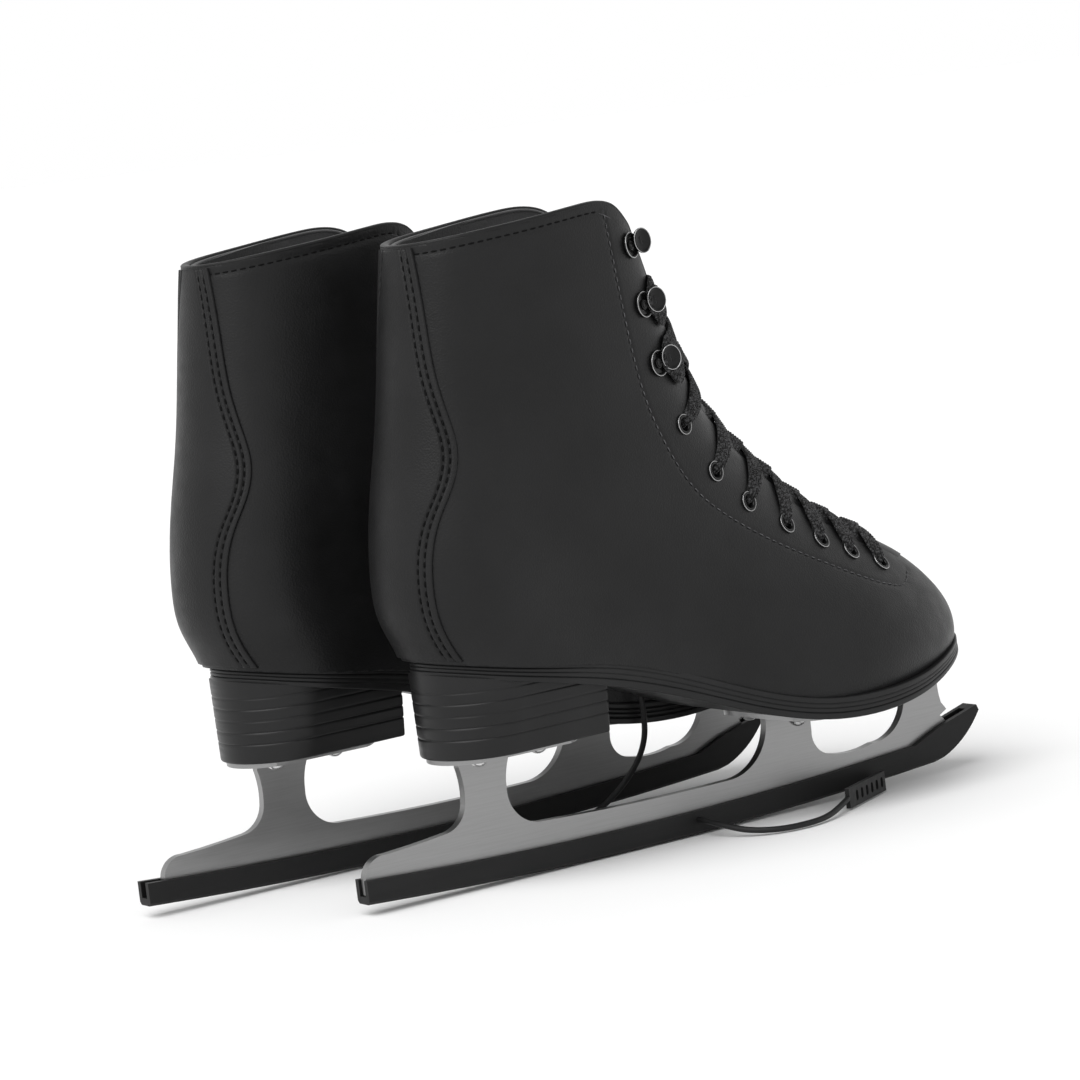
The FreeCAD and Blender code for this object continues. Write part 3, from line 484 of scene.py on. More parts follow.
# ---- materials -------------------------------------------------------------
class Paint:
    """A material with a shader and short ways to add procedural detail to it."""

    def __init__(self, name, roughness, metallic=0.0, **sockets):
        self.material = bpy.data.materials.new(name)
        self.material.use_nodes = True
        self.nodes = self.material.node_tree.nodes
        self.links = self.material.node_tree.links
        self.shader = self.nodes["Principled BSDF"]
        self.shader.inputs["Roughness"].default_value = roughness
        self.shader.inputs["Metallic"].default_value = metallic
        for socket, value in sockets.items():
            self.shader.inputs[socket.replace("_", " ")].default_value = value
        self.coordinates = self.nodes.new("ShaderNodeTexCoord")
        self.height = None

    def mapped(self, scale):
        mapping = self.nodes.new("ShaderNodeMapping")
        mapping.inputs["Scale"].default_value = scale
        self.links.new(self.coordinates.outputs["Object"], mapping.inputs["Vector"])
        return mapping.outputs["Vector"]

    def noise(self, scale, detail=3.0):
        node = self.nodes.new("ShaderNodeTexNoise")
        node.inputs["Scale"].default_value = 1.0
        node.inputs["Detail"].default_value = detail
        self.links.new(self.mapped(scale), node.inputs["Vector"])
        return node.outputs["Fac"]

    def cells(self, scale, feature="F1"):
        node = self.nodes.new("ShaderNodeTexVoronoi")
        node.feature = feature
        node.inputs["Scale"].default_value = 1.0
        self.links.new(self.mapped(scale), node.inputs["Vector"])
        return node.outputs["Distance"]

    def colour(self, factor, dark, light, low=0.35, high=0.65):
        ramp = self.nodes.new("ShaderNodeValToRGB")
        ramp.color_ramp.elements[0].position = low
        ramp.color_ramp.elements[1].position = high
        ramp.color_ramp.elements[0].color = (*dark, 1)
        ramp.color_ramp.elements[1].color = (*light, 1)
        self.links.new(factor, ramp.inputs["Fac"])
        self.links.new(ramp.outputs["Color"], self.shader.inputs["Base Color"])

    def roughness(self, factor, low, high):
        spread = self.nodes.new("ShaderNodeMapRange")
        spread.inputs["From Min"].default_value = 0.3
        spread.inputs["From Max"].default_value = 0.7
        spread.inputs["To Min"].default_value = low
        spread.inputs["To Max"].default_value = high
        self.links.new(factor, spread.inputs["Value"])
        self.links.new(spread.outputs["Result"], self.shader.inputs["Roughness"])

    def bump(self, factor, strength, distance):
        node = self.nodes.new("ShaderNodeBump")
        node.inputs["Strength"].default_value = strength
        node.inputs["Distance"].default_value = distance
        self.links.new(factor, node.inputs["Height"])
        if self.height is not None:
            self.links.new(self.height, node.inputs["Normal"])
        self.height = node.outputs["Normal"]
        self.links.new(self.height, self.shader.inputs["Normal"])


def grey(value):
    return (value, value, value * 1.03)


def even(value):
    return (value, value, value)


def leather_paint(name, roughness, patch, gloss, creased):
    paint = Paint(name, roughness, IOR=1.32, Specular_IOR_Level=0.5)
    paint.colour(paint.noise(even(patch)), grey(0.0055), grey(0.0085))
    paint.roughness(paint.noise(even(gloss), 4), roughness - 0.05, roughness + 0.05)
    if creased:
        paint.bump(paint.noise(even(30), 2), 0.25, 0.0006)
    paint.bump(paint.cells(even(1300)), 0.5, 0.00018)
    if creased:
        paint.bump(paint.noise(even(2600), 2), 0.12, 0.0001)
    return paint.material


def thread_paint(name, shade):
    paint = Paint(name, 0.7, Specular_IOR_Level=0.1)
    paint.colour(paint.noise(even(900)), grey(shade * 0.6), grey(shade * 1.3))
    paint.bump(paint.noise((4000, 4000, 1500)), 0.3, 0.0001)
    return paint.material


def lining_paint():
    paint = Paint("lining_cloth", 0.75, Sheen_Weight=0.3, Sheen_Roughness=0.5)
    paint.colour(paint.noise(even(60)), grey(0.012), grey(0.022))
    paint.bump(paint.cells((1100, 1100, 1100)), 0.5, 0.0002)
    paint.bump(paint.noise(even(90)), 0.3, 0.0006)
    return paint.material


def tongue_paint():
    paint = Paint("tongue_leather", 0.46, Specular_IOR_Level=0.4)
    paint.colour(paint.noise(even(24)), grey(0.009), grey(0.013))
    paint.bump(paint.cells(even(1300)), 0.3, 0.00015)
    paint.bump(paint.noise(even(60)), 0.3, 0.0008)
    return paint.material


def lace_paint():
    paint = Paint("lace_weave", 0.75, IOR=1.3, Sheen_Weight=0.1, Sheen_Roughness=0.4)
    paint.colour(paint.cells(even(820)), grey(0.06), grey(0.003), 0.2, 0.6)
    paint.bump(paint.cells(even(820)), 0.9, 0.0008)
    paint.bump(paint.noise(even(3000), 2), 0.5, 0.0002)
    return paint.material


def rubber_paint(name, shade, roughness, streak):
    paint = Paint(name, roughness, IOR=1.34, Specular_IOR_Level=0.5)
    paint.colour(paint.noise(even(35)), grey(shade), grey(shade * 1.4))
    paint.roughness(paint.noise(streak, 3), roughness - 0.05, roughness + 0.06)
    paint.bump(paint.noise(even(1800), 3), 0.12, 0.0001)
    return paint.material


def steel_paint(name, shade, roughness, streak):
    paint = Paint(name, roughness, metallic=1.0)
    paint.colour(paint.noise(streak, 3), even(shade * 0.96), even(shade * 1.04))
    paint.roughness(paint.noise(streak, 4), roughness - 0.04, roughness + 0.05)
    paint.bump(paint.noise(streak, 4), 0.05, 0.00006)
    return paint.material


def enamel_paint():
    paint = Paint("black_metal", 0.2, IOR=1.3, Specular_IOR_Level=0.5)
    paint.colour(paint.noise(even(300)), grey(0.003), grey(0.006))
    paint.roughness(paint.noise(even(900)), 0.16, 0.26)
    return paint.material


def board_paint(name, shade):
    paint = Paint(name, 0.8)
    paint.colour(paint.noise(even(200)), even(shade * 0.7), even(shade))
    paint.bump(paint.noise(even(1500)), 0.4, 0.0002)
    return paint.material


LEATHER_LOOK = leather_paint("boot_leather", 0.42, 22, 120, True)
BACKSTAY_LOOK = leather_paint("backstay_leather", 0.44, 26, 140, False)
THREAD_LOOK = thread_paint("thread_grey", 0.085)
DARK_THREAD_LOOK = thread_paint("thread_black", 0.0025)
LINING_LOOK = lining_paint()
TONGUE_LOOK = tongue_paint()
LACE_LOOK = lace_paint()
SOLE_LOOK = rubber_paint("sole_rubber", 0.007, 0.4, (60, 60, 600))
HEEL_LOOK = rubber_paint("heel_rubber", 0.007, 0.36, (60, 60, 600))
GUARD_LOOK = rubber_paint("guard_plastic", 0.0045, 0.5, (20, 300, 300))
STRAP_LOOK = rubber_paint("strap_rubber", 0.008, 0.5, even(400))
STEEL_LOOK = steel_paint("blade_steel", 0.29, 0.36, (60, 2400, 2400))
SCREW_LOOK = steel_paint("screw_steel", 0.72, 0.2, (400, 400, 400))
ENAMEL_LOOK = enamel_paint()
# Bright metal for thin rings on the eyelet and hook edges: a painted highlight standing in for the glint of
# light on the black edges.
GLINT_RING_LOOK = steel_paint("painted_glint_metal", 0.42, 0.25, even(900))
BOARD_LOOK = board_paint("stiffener_board", 0.05)
INSOLE_LOOK = board_paint("insole_cloth", 0.03)

NODE_LOOKS = {
    "heel_counter": BOARD_LOOK, "toe_box": BOARD_LOOK, "eyestay_facings": LEATHER_LOOK,
    "topline_tape": LINING_LOOK, "insole_board": BOARD_LOOK, "insole": INSOLE_LOOK,
    "shank": STEEL_LOOK, "heel_plate": STEEL_LOOK, "sole_plate": STEEL_LOOK, "blade": STEEL_LOOK,
    "heel_screws": SCREW_LOOK, "sole_screws": SCREW_LOOK, "lace_tips": ENAMEL_LOOK,
    "guard": GUARD_LOOK, "guard_strap": STRAP_LOOK, "strap_tab": STRAP_LOOK,
    "speed_hooks": ENAMEL_LOOK, "hook_rivets": ENAMEL_LOOK, "outsole": SOLE_LOOK, "heel": HEEL_LOOK,
}


SOFT_EDGES = {"guard": 0.0006, "strap_tab": 0.0004, "blade": 0.00025, "heel_plate": 0.0003,
              "sole_plate": 0.0003}
SHARP_ANGLE = math.radians(35)


def paint_nodes():
    for side in SIDES:
        for node, look in NODE_LOOKS.items():
            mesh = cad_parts[f"{side}_{node}"].data
            mesh.materials.clear()
            mesh.materials.append(look)
        for node, width in SOFT_EDGES.items():
            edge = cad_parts[f"{side}_{node}"].modifiers.new("edge", "BEVEL")
            edge.width = width
            edge.segments = 2
            edge.limit_method = "ANGLE"
            edge.angle_limit = SHARP_ANGLE


# ---- stitches --------------------------------------------------------------
def stitch_row(shape, line, length, gap, radius, lift):
    """Small rounded threads along a line of x, y, z, way x, y, z rows."""
    step = 0.5
    line = resample(line, step)
    pitch = length + gap
    count = int(len(line) * step / pitch)
    ring = 8
    shares = np.array([0.0, 0.06, 0.2, 0.5, 0.8, 0.94, 1.0])
    swell = np.array([0.1, 0.62, 0.95, 1.0, 0.95, 0.62, 0.1])
    sink = np.array([-0.9, -0.35, 0.0, 0.12, 0.0, -0.35, -0.9])
    angle = np.arange(ring) * 2 * math.pi / ring
    for n in range(count):
        where = (n * pitch + shares * length) / step
        at = np.stack([np.interp(where, np.arange(len(line)), line[:, c]) for c in range(6)], 1)
        up = unit(at[:, 3:])
        along = unit(np.gradient(at[:, :3], axis=0))
        across = unit(np.cross(along, up))
        centre = at[:, :3] + up * (lift + sink * radius)[:, None]
        size = (swell * radius)[:, None, None]
        rings = centre[:, None] + size * (np.cos(angle)[None, :, None] * across[:, None]
                                          + 0.75 * np.sin(angle)[None, :, None] * up[:, None])
        faces = grid_faces(len(shares), ring, closed=True, flip=True)
        last = (len(shares) - 1) * ring
        faces.append(tuple(range(ring)))
        faces.append(tuple(last + c for c in range(ring))[::-1])
        shape.add(rings, faces)


def line_on_skin(points, side, step=1.0):
    """A line given as (x, z) seen from the side, laid on the skin."""
    points = np.asarray(points, float)
    gaps = np.linalg.norm(np.diff(points, axis=0), axis=1)
    knots = np.concatenate(([0.0], np.cumsum(gaps)))
    fine = natural_spline(knots, points, np.arange(0, knots[-1], step))
    rows = []
    for x, z in fine:
        spot, out = skin_at(share_at(x, z, side), z)
        rows.append(np.concatenate((spot, out)))
    return np.array(rows)


def rim_line(below, first, last, count=260):
    """The line this far below the rim, round the back from one share to another."""
    rows = []
    for share in np.linspace(first, last, count):
        z = 256.0
        for _ in range(4):
            spot, out = skin_at(share, z)
            z = float(side_line(RIM, spot[0])) - below
        spot, out = skin_at(share, z)
        rows.append(np.concatenate((spot, out)))
    return np.array(rows)


# ---- pieces: upper, backstay, lining, tongue -------------------------------
def seam_dents(data, lines, depth, width):
    """Presses the face in along seams."""
    points = np.concatenate([resample(line, 0.6)[:, :3] for line in lines])
    tree = KDTree(len(points))
    for n, p in enumerate(points):
        tree.insert(p, n)
    tree.balance()
    gaps = np.array([tree.find(p)[2] for p in data[:, :3]])
    data[:, :3] -= data[:, 3:] * (depth * np.exp(-(gaps / width) ** 2))[:, None]
    return data


def edge_roll(shape, data, faces, out_by, depth, top):
    """The turned edge of the leather, a soft bead round the rim and the throat."""
    loops = edge_loops(faces)
    loop = max(loops, key=lambda l: data[l, 2].max() * 1000 + len(l))
    line = resample(data[loop], 0.7, closed=True)
    kernel = np.array([1, 2, 3, 2, 1], float)
    kernel /= kernel.sum()
    wide = np.concatenate((line[-2:], line, line[:2]))
    line = np.stack([np.convolve(wide[:, c], kernel, "valid") for c in range(6)], 1)
    ways = unit(line[:, 3:])
    along = unit(np.roll(line[:, :3], -1, 0) - np.roll(line[:, :3], 1, 0))
    outwards = unit(np.cross(along, ways))
    angle = np.arange(14) * 2 * math.pi / 14
    profile = np.stack((np.cos(angle) * out_by, top - depth / 2 + np.sin(angle) * depth / 2), 1)
    points, made = sweep(line[:, :3], outwards, ways, profile, closed=True)
    shape.add(points, made)


def rim_shares(below):
    """Where the rim meets the throat on each side, a little short of the corner."""
    z = 262.0 - below
    return share_at(-3.0, z, -1), share_at(-3.0, z, 1)


CORNER_SEAM = ((-4.0, 258.6), (1.0, 256.6), (6.0, 253.6))


def make_upper():
    data, faces = boot_sheet(1, 0.0, -1.5, HOLE_RADIUS)
    outer, inner = rim_shares(RIM_SEAM)
    seams = [line_on_skin(EYESTAY_LINE, -1), line_on_skin(EYESTAY_LINE, 1),
             rim_line(RIM_SEAM, inner - 1.0, outer)]
    flat = seam_dents(data.copy(), seams, 0.45, 0.9)
    shape = Shape()
    shape.add(*shell(flat, faces, 0.0, -LEATHER))
    edge_roll(shape, data, faces, 1.0, 3.7, 0.15)
    build("upper", shape, LEATHER_LOOK, ["upper"])

    threads = Shape()
    for line in seams[:2]:
        stitch_row(threads, line, 2.3, 1.3, 0.25, -0.1)
    build("eyestay_stitches", threads, THREAD_LOOK)
    threads = Shape()
    stitch_row(threads, seams[2], 2.8, 1.0, 0.33, -0.25)
    build("rim_stitches", threads, DARK_THREAD_LOOK)
    threads = Shape()
    for side in (-1, 1):
        stitch_row(threads, line_on_skin(CORNER_SEAM, side), 8.0, 0.4, 0.2, -0.05)
    build("corner_stitches", threads, THREAD_LOOK)


def make_backstay():
    levels = np.arange(88.0, 258.0, 1.0)
    edge = np.asarray(sorted(BACKSTAY_EDGE))
    edge_x = natural_spline(edge[:, 0], edge[:, 1], levels)
    near = np.concatenate((np.array([0.0, 0.12, 0.35, 0.7, 1.1, 1.6, 2.1]), np.arange(2.4, 7.6, 0.25)))
    rows = []
    rim_gap, seat_gap = 1.0, 0.3
    for z, x in zip(levels, edge_x):
        start = share_at(x, z, 1) - 1.0
        finish = share_at(x, z, -1)
        width = (finish - start) * girth(z)
        middle = np.linspace(near[-1], width - near[-1], 22)[1:-1]
        across = np.concatenate((near, middle, (width - near)[::-1]))
        spot, out = skin_at(start + across / width * (finish - start), np.full(len(across), z))
        gap = np.minimum(across, width - across)
        rise = BACKSTAY_T * rounded(gap, 0.8)
        for at in BACKSTAY_SEAMS:
            rise -= BACKSTAY_SEAM_DEPTH * np.exp(-((gap - at) / 0.62) ** 2)
        rise = np.where(gap < 0.05, -0.3, rise)
        rows.append(np.concatenate((spot, out, rise[:, None], gap[:, None]), 1))
    rows = np.array(rows)
    height, wide = rows.shape[:2]
    data = rows.reshape(-1, 8)
    faces = grid_faces(height, wide)
    data, faces = clip(data, faces, side_line(RIM, data[:, 0]) - rim_gap - data[:, 2])
    data, faces = clip(data, faces, data[:, 2] - side_line(SEAT, data[:, 0]) - seat_gap)
    top = data[:, :3] + data[:, 3:6] * data[:, 6:7]
    under = data[:, :3] - data[:, 3:6] * 0.5
    shape = Shape()
    shape.add(*between(top, under, faces))
    build("backstay", shape, BACKSTAY_LOOK, ["backstay"])

    threads = Shape()
    for side in (-1, 1):
        for at in BACKSTAY_SEAMS:
            line = []
            for z, x in zip(levels, edge_x):
                share = share_at(x, z, side) + side * at / girth(z)
                spot, out = skin_at(share, z)
                low = float(side_line(SEAT, spot[0])) + 1.5
                high = float(side_line(RIM, spot[0])) - 2.5
                if low < z < high:
                    line.append(np.concatenate((spot + out * (BACKSTAY_T - BACKSTAY_SEAM_DEPTH), out)))
            stitch_row(threads, np.array(line), 2.7, 1.1, 0.42, 0.16)
    build("backstay_stitches", threads, DARK_THREAD_LOOK)


def make_lining():
    data, faces = boot_sheet(2, 0.6, 2.5, HOLE_RADIUS)
    shape = Shape()
    shape.add(*shell(data, faces, -LINING_OUT, -LINING_IN))
    edge_roll(shape, data, faces, 0.7, 2.3, -3.1)
    build("lining", shape, LINING_LOOK, ["lining"])


TONGUE_TOP = 245.5
TONGUE_HALF_WIDTH = 24.5
TONGUE_FACE = -9.4        # how far its edges lie in from the boot's face
TONGUE_BACK = -13.6
TONGUE_CROWN = 10.0       # how far the middle stands above the edges, which lie under the boot


def make_tongue():
    """A padded strip behind the laces, crowned between its edges."""
    levels = np.arange(96.0, TONGUE_TOP, 1.6)
    across = np.linspace(-1, 1, 41)
    rows = []
    under = []
    for z in levels:
        ring = section(z)
        toe = int(np.argmax(ring[:, 0]))
        front = SHARES[toe]
        part = slice(toe // 2, toe + 1)
        outer = SHARES[toe // 2]
        if ring[toe // 2, 1] < -TONGUE_HALF_WIDTH:
            outer = float(np.interp(-TONGUE_HALF_WIDTH, ring[part, 1], SHARES[part]))
        share = front + across * (front - outer)
        spot, out = skin_at(share, np.full(len(across), z))
        table = np.asarray(THROAT)
        gap = float(np.interp(z, table[:, 0], table[:, 1]))
        rise = np.interp(z, (200.0, 232.0), (TONGUE_CROWN, 5.2))
        crown = rise * np.clip(1 - (spot[:, 1] / (gap + 3.0)) ** 4, 0, 1)
        end = np.clip((TONGUE_TOP - z) / 7.0, 0, 1)
        edge = np.clip((1 - np.abs(across)) / 0.12, 0, 1)
        edge_drop, end_drop = 1 - np.sqrt(edge), 1 - math.sqrt(end)
        level = TONGUE_FACE + crown * math.sqrt(end) - 2.0 * edge_drop - 1.5 * end_drop
        back = np.minimum(level - 0.6, TONGUE_BACK + 1.8 * edge_drop)
        rows.append(spot + out * level[:, None])
        under.append(spot + out * back[:, None])
    rows = np.array(rows)
    faces = grid_faces(*rows.shape[:2])
    shape = Shape()
    shape.add(*between(rows.reshape(-1, 3), np.array(under).reshape(-1, 3), faces))
    build("tongue", shape, TONGUE_LOOK, ["tongue"])


# ---- laces -----------------------------------------------------------------
LACE_W = 9.2
LACE_T = 1.5
WEAVE = 2.5
WEAVE_DEPTH = 0.42


def ribbon(shape, stops):
    """A woven band through stops of share, height, lift, width and fold."""
    stops = np.asarray(stops, float)
    spots, outs = skin_at(stops[:, 0], stops[:, 1])
    rough = spots + outs * stops[:, 2:3]
    knots = np.concatenate(([0.0], np.cumsum(np.linalg.norm(np.diff(rough, axis=0), axis=1))))
    count = int(knots[-1] / 0.4)
    where = np.linspace(0, knots[-1], count)
    line = natural_spline(knots, np.concatenate((rough, outs), 1), where)
    base = natural_spline(knots, spots, where)
    width = np.interp(where, knots, stops[:, 3])
    fold = np.interp(where, knots, stops[:, 4])
    outs = unit(line[:, 3:])
    flow = unit(np.gradient(base, axis=0) + 1e-6)
    kernel = np.ones(9) / 9
    padded = np.pad(flow, ((4, 4), (0, 0)), "edge")
    flow = unit(np.stack([np.convolve(padded[:, c], kernel, "valid") for c in range(3)], 1))
    side = unit(np.cross(flow, outs))
    along = unit(np.gradient(line[:, :3], axis=0))
    up = unit(np.cross(side, along))
    columns = 26
    shares = np.linspace(1, -1, columns)
    shares[1], shares[-2] = 0.97, -0.97
    rounding = np.sqrt(np.clip(1 - np.abs(shares) ** 7, 0, 1))
    profiles = []
    for n, at in enumerate(where):
        a = shares * width[n] / 2
        pattern = np.sin((at + a) * 2 * math.pi / WEAVE) * np.sin((at - a) * 2 * math.pi / WEAVE)
        weave = WEAVE_DEPTH * pattern
        crown = -fold[n] * shares ** 2
        top = np.stack((a, rounding * (LACE_T / 2 + weave) + crown), 1)
        low = np.stack((a, -rounding * (LACE_T / 2 - 0.3 * weave) + crown), 1)[::-1][1:-1]
        profiles.append(np.concatenate((top, low)))
    points, faces = sweep(line[:, :3], side, up, np.array(profiles))
    shape.add(points, faces)


def row_place(index, side):
    x, z = (EYELETS + HOOKS)[index]
    return share_at(x, z, (-1, 1)[side]), z


SHARE_STEP = 0.002
HEIGHT_STEP = 0.5


def share_ahead(point, way, guess):
    """The share and height where a line from inside the boot leaves the skin."""
    share, z = guess
    across = unit(np.cross(way, (0.0, 0.0, 1.0)))
    rising = np.cross(across, way)

    def miss(a, b):
        gap = skin_at(a, b)[0] - point
        return np.array((gap @ across, gap @ rising))

    for _ in range(12):
        here = miss(share, z)
        by_share = (miss(share + SHARE_STEP, z) - here) / SHARE_STEP
        by_height = (miss(share, z + HEIGHT_STEP) - here) / HEIGHT_STEP
        slope = np.column_stack((by_share, by_height))
        step = np.linalg.solve(slope, here)
        share -= float(np.clip(step[0], -0.03, 0.03))
        z -= float(np.clip(step[1], -6.0, 6.0))
    return share, z


def crossing(start, finish, over, from_hook, to_hook):
    """Stops of the lace from one fitting to the next one up, on the other side."""
    spots, outs = skin_at(np.array((start[0], finish[0])), np.array((start[1], finish[1])))
    forwards = outs[0] + outs[1]
    forwards[1] = 0.0
    forwards = unit(forwards)
    fine = np.linspace(0, 1, 61)
    way = []
    guess = start
    for q in fine:
        if 0 < q < 1:
            guess = share_ahead(spots[0] * (1 - q) + spots[1] * q, forwards, guess)
        way.append(guess if q < 1 else finish)
    way = np.array(way)

    def at(q):
        return float(np.interp(q, fine, way[:, 0])), float(np.interp(q, fine, way[:, 1]))

    open_part = np.nonzero(throat_value(skin_at(way[:, 0], way[:, 1])[0]) < 0)[0]
    first, last = (fine[open_part[0]], fine[open_part[-1]]) if len(open_part) else (0.4, 0.6)
    stops = []
    if not from_hook:
        stops += [(*at(0.0), -3.0, 4.8, 1.0), (*at(0.012), -0.2, 5.2, 1.0), (*at(0.06), 1.2, 7.0, 0.7)]
        stops.append((*at(min(0.17, first * 0.7)), 1.15, LACE_W, 0.1))
    stops.append((*at(first), 1.25, LACE_W, 0.0))
    stops.append((*at(0.5), 3.2 if over else 1.7, LACE_W, 0.0))
    if to_hook:
        stops.append((*at(last), 1.1, LACE_W, 0.0))
    else:
        stops.append((*at(last - 0.03), -3.2, LACE_W, 0.0))
        stops.append((*at(min(last + 0.1, 0.9)), -6.4, LACE_W, 0.0))
        stops.append((*at(1.0), -7.0, 6.0, 0.0))
    return stops


def hook_turn(index, side):
    """Stops of the lace round a hook's neck, from below it to above it."""
    share, z = row_place(index, side)
    way = (1, -1)[side] / girth(z)
    return [(share + way * 10.0, z - 5.6, 1.5, LACE_W, 0.2), (share + way * 6.0, z - 3.8, 1.5, 5.6, 0.0),
            (share + way * 3.4, z, 1.5, 3.2, 0.0), (share + way * 6.0, z + 3.8, 1.5, 5.6, 0.0),
            (share + way * 10.0, z + 5.6, 1.5, LACE_W, 0.2)]


def make_laces():
    shape = Shape()
    for first in (0, 1):
        side = first
        for row in range(1, len(EYELETS)):
            start, finish = row_place(row - 1, side), row_place(row, 1 - side)
            ribbon(shape, crossing(start, finish, (row + first) % 2 == 0, False, False))
            side = 1 - side
        last = len(EYELETS)
        over = (last + first) % 2 == 0
        stops = crossing(row_place(last - 1, side), row_place(last, 1 - side), over, False, True)
        side = 1 - side
        stops += hook_turn(last, side)
        stops += crossing(row_place(last, side), row_place(last + 1, 1 - side), first == 0, True, True)
        side = 1 - side
        stops += hook_turn(last + 1, side)
        share, z = row_place(last + 1, side)
        way = (1, -1)[side] / girth(z)
        stops += [(share + way * 13.0, z + 6.5, 0.8, LACE_W, 0.0),
                  (share + way * 17.0, z + 8.5, -4.5, LACE_W, 0.0),
                  (share + way * 16.0, z + 9.0, -7.5, 6.0, 0.0)]
        ribbon(shape, stops)
    build("lace", shape, LACE_LOOK, ["lace"])


# ---- eyelets and hooks -----------------------------------------------------
def make_eyelets():
    profile = [(4.25, -0.1), (4.3, 0.3), (4.05, 0.75), (3.6, 0.98), (3.15, 0.95), (2.75, 0.7),
               (2.52, 0.2), (2.5, -5.3), (3.0, -5.3), (3.0, -0.1)]
    shape, rims = Shape(), Shape()
    for spot, out, _ in ALL_EYELETS:
        shape.add(*closed_lathe(profile, spot, out, 40))
        # A bright metal ring round each eyelet's rim: a painted highlight for the glint on its edge.
        rims.add(*closed_lathe(rim_profile(4.05, 0.66), spot, out, 44))
    build("eyelets", shape, ENAMEL_LOOK, ["eyelets"], sharp=50)
    build("eyelet_rims", rims, GLINT_RING_LOOK)


HOOK_HEAD_AT = 5.9
HOOK_HEAD_LIFT = 2.5
HEAD_SQUASH = 0.84
HEAD_TILT = 0.35          # the head leans this much towards the boot's side


def rim_profile(radius, level, thick=0.2):
    """A thin round ring on an edge, made in bright metal as a painted highlight for the glint there."""
    turn = np.linspace(0, 2 * math.pi, 9)[:-1]
    return [(radius + thick * math.cos(t), level + thick * math.sin(t)) for t in turn]


def bent_strip(shape, spot, out, towards, stops, width, thick):
    """A flat metal strip through stops of (towards, out), all in one plane."""
    stops = np.asarray(stops, float)
    knots = np.concatenate(([0.0], np.cumsum(np.linalg.norm(np.diff(stops, axis=0), axis=1))))
    flat = natural_spline(knots, stops, np.linspace(0, knots[-1], 28))
    line = spot + flat[:, :1] * towards + flat[:, 1:] * out
    across = np.repeat(np.cross(out, towards)[None], len(line), 0)
    up = unit(np.cross(across, unit(np.gradient(line, axis=0))))
    half, edge = width / 2, thick / 2
    profile = [(half, 0), (half - edge * 0.3, edge * 0.7), (half - edge, edge), (-half + edge, edge),
               (-half + edge * 0.3, edge * 0.7), (-half, 0), (-half + edge * 0.3, -edge * 0.7),
               (-half + edge, -edge), (half - edge, -edge), (half - edge * 0.3, -edge * 0.7)]
    shape.add(*sweep(line, across, up, profile))


def stretched(points, spot, way, share):
    """Points squeezed towards a plane through spot."""
    points = np.asarray(points)
    return points - ((points - spot) @ way)[:, None] * way * (1 - share)


def make_hooks():
    base = [(0.01, 0.2), (1.2, 0.2), (3.9, 0.35), (4.25, 0.75), (4.6, 1.15), (4.95, 1.2), (5.2, 0.95),
            (5.25, 0.5), (5.15, 0.05), (0.01, 0.05)]
    head = [(0.01, 0.35), (3.6, 0.42), (4.15, 0.72), (4.5, 1.0), (4.85, 1.02), (5.1, 0.8), (5.15, 0.4),
            (4.95, 0.0), (4.3, -0.15), (0.01, -0.15)]
    rivet = [(0.01, 0.95), (0.7, 0.9), (1.25, 0.95), (1.7, 1.1), (2.05, 0.85), (2.1, 0.3), (0.01, 0.2)]
    hooks, rims, rivets = Shape(), Shape(), Shape()
    for spot, out, towards in ALL_HOOKS:
        hooks.add(*closed_lathe(base, spot, out, 44))
        seat = spot + towards * HOOK_HEAD_AT + out * HOOK_HEAD_LIFT
        facing = unit(out - towards * HEAD_TILT)
        points, faces = closed_lathe(head, seat, facing, 44)
        hooks.add(stretched(points, seat, towards, HEAD_SQUASH), faces)
        bent_strip(hooks, spot, out, towards, ((3.0, 0.4), (4.2, 0.7), (4.9, 1.5), (5.2, HOOK_HEAD_LIFT),
                                               (6.0, HOOK_HEAD_LIFT + 0.1)), 3.6, 0.7)
        # Bright metal rings on the base's and the head's edges: painted highlights for the glint on them.
        rims.add(*closed_lathe(rim_profile(5.1, 1.05), spot, out, 44))
        points, faces = closed_lathe(rim_profile(4.98, 0.95), seat, facing, 44)
        rims.add(stretched(points, seat, towards, HEAD_SQUASH), faces)
        rivets.add(*closed_lathe(rivet, spot, out, 30))
    build("speed_hooks", hooks, ENAMEL_LOOK, ["speed_hooks"], sharp=40)
    build("hook_rims", rims, GLINT_RING_LOOK)
    build("hook_rivets", rivets, ENAMEL_LOOK, ["hook_rivets"], sharp=40)


# ---- sole and heel ---------------------------------------------------------
SOLE_LIP = 1.4
HEEL_BOTTOM_Z = 54.0
HEEL_BREAST_X = -24.0
HEEL_REAR_X = -94.5
HEEL_TOP_R = 31.0
HEEL_BOTTOM_R = 26.0
HEEL_HEIGHT = 40.0


def sole_ring(count):
    """The sole's outline seen from above, with the way out of it."""
    shares = np.arange(count) / count
    spot, out = skin_at(shares, np.full(count, 56.0))
    level = unit(out * (1, 1, 0))
    return spot[:, :2] + level[:, :2] * SOLE_LIP, level[:, :2]


def groove(share, places, depth, width):
    """How far the face steps in, for shallow lines at the places."""
    total = np.zeros_like(share)
    for at in places:
        total -= depth * np.exp(-((share - at) / width) ** 2)
    return total


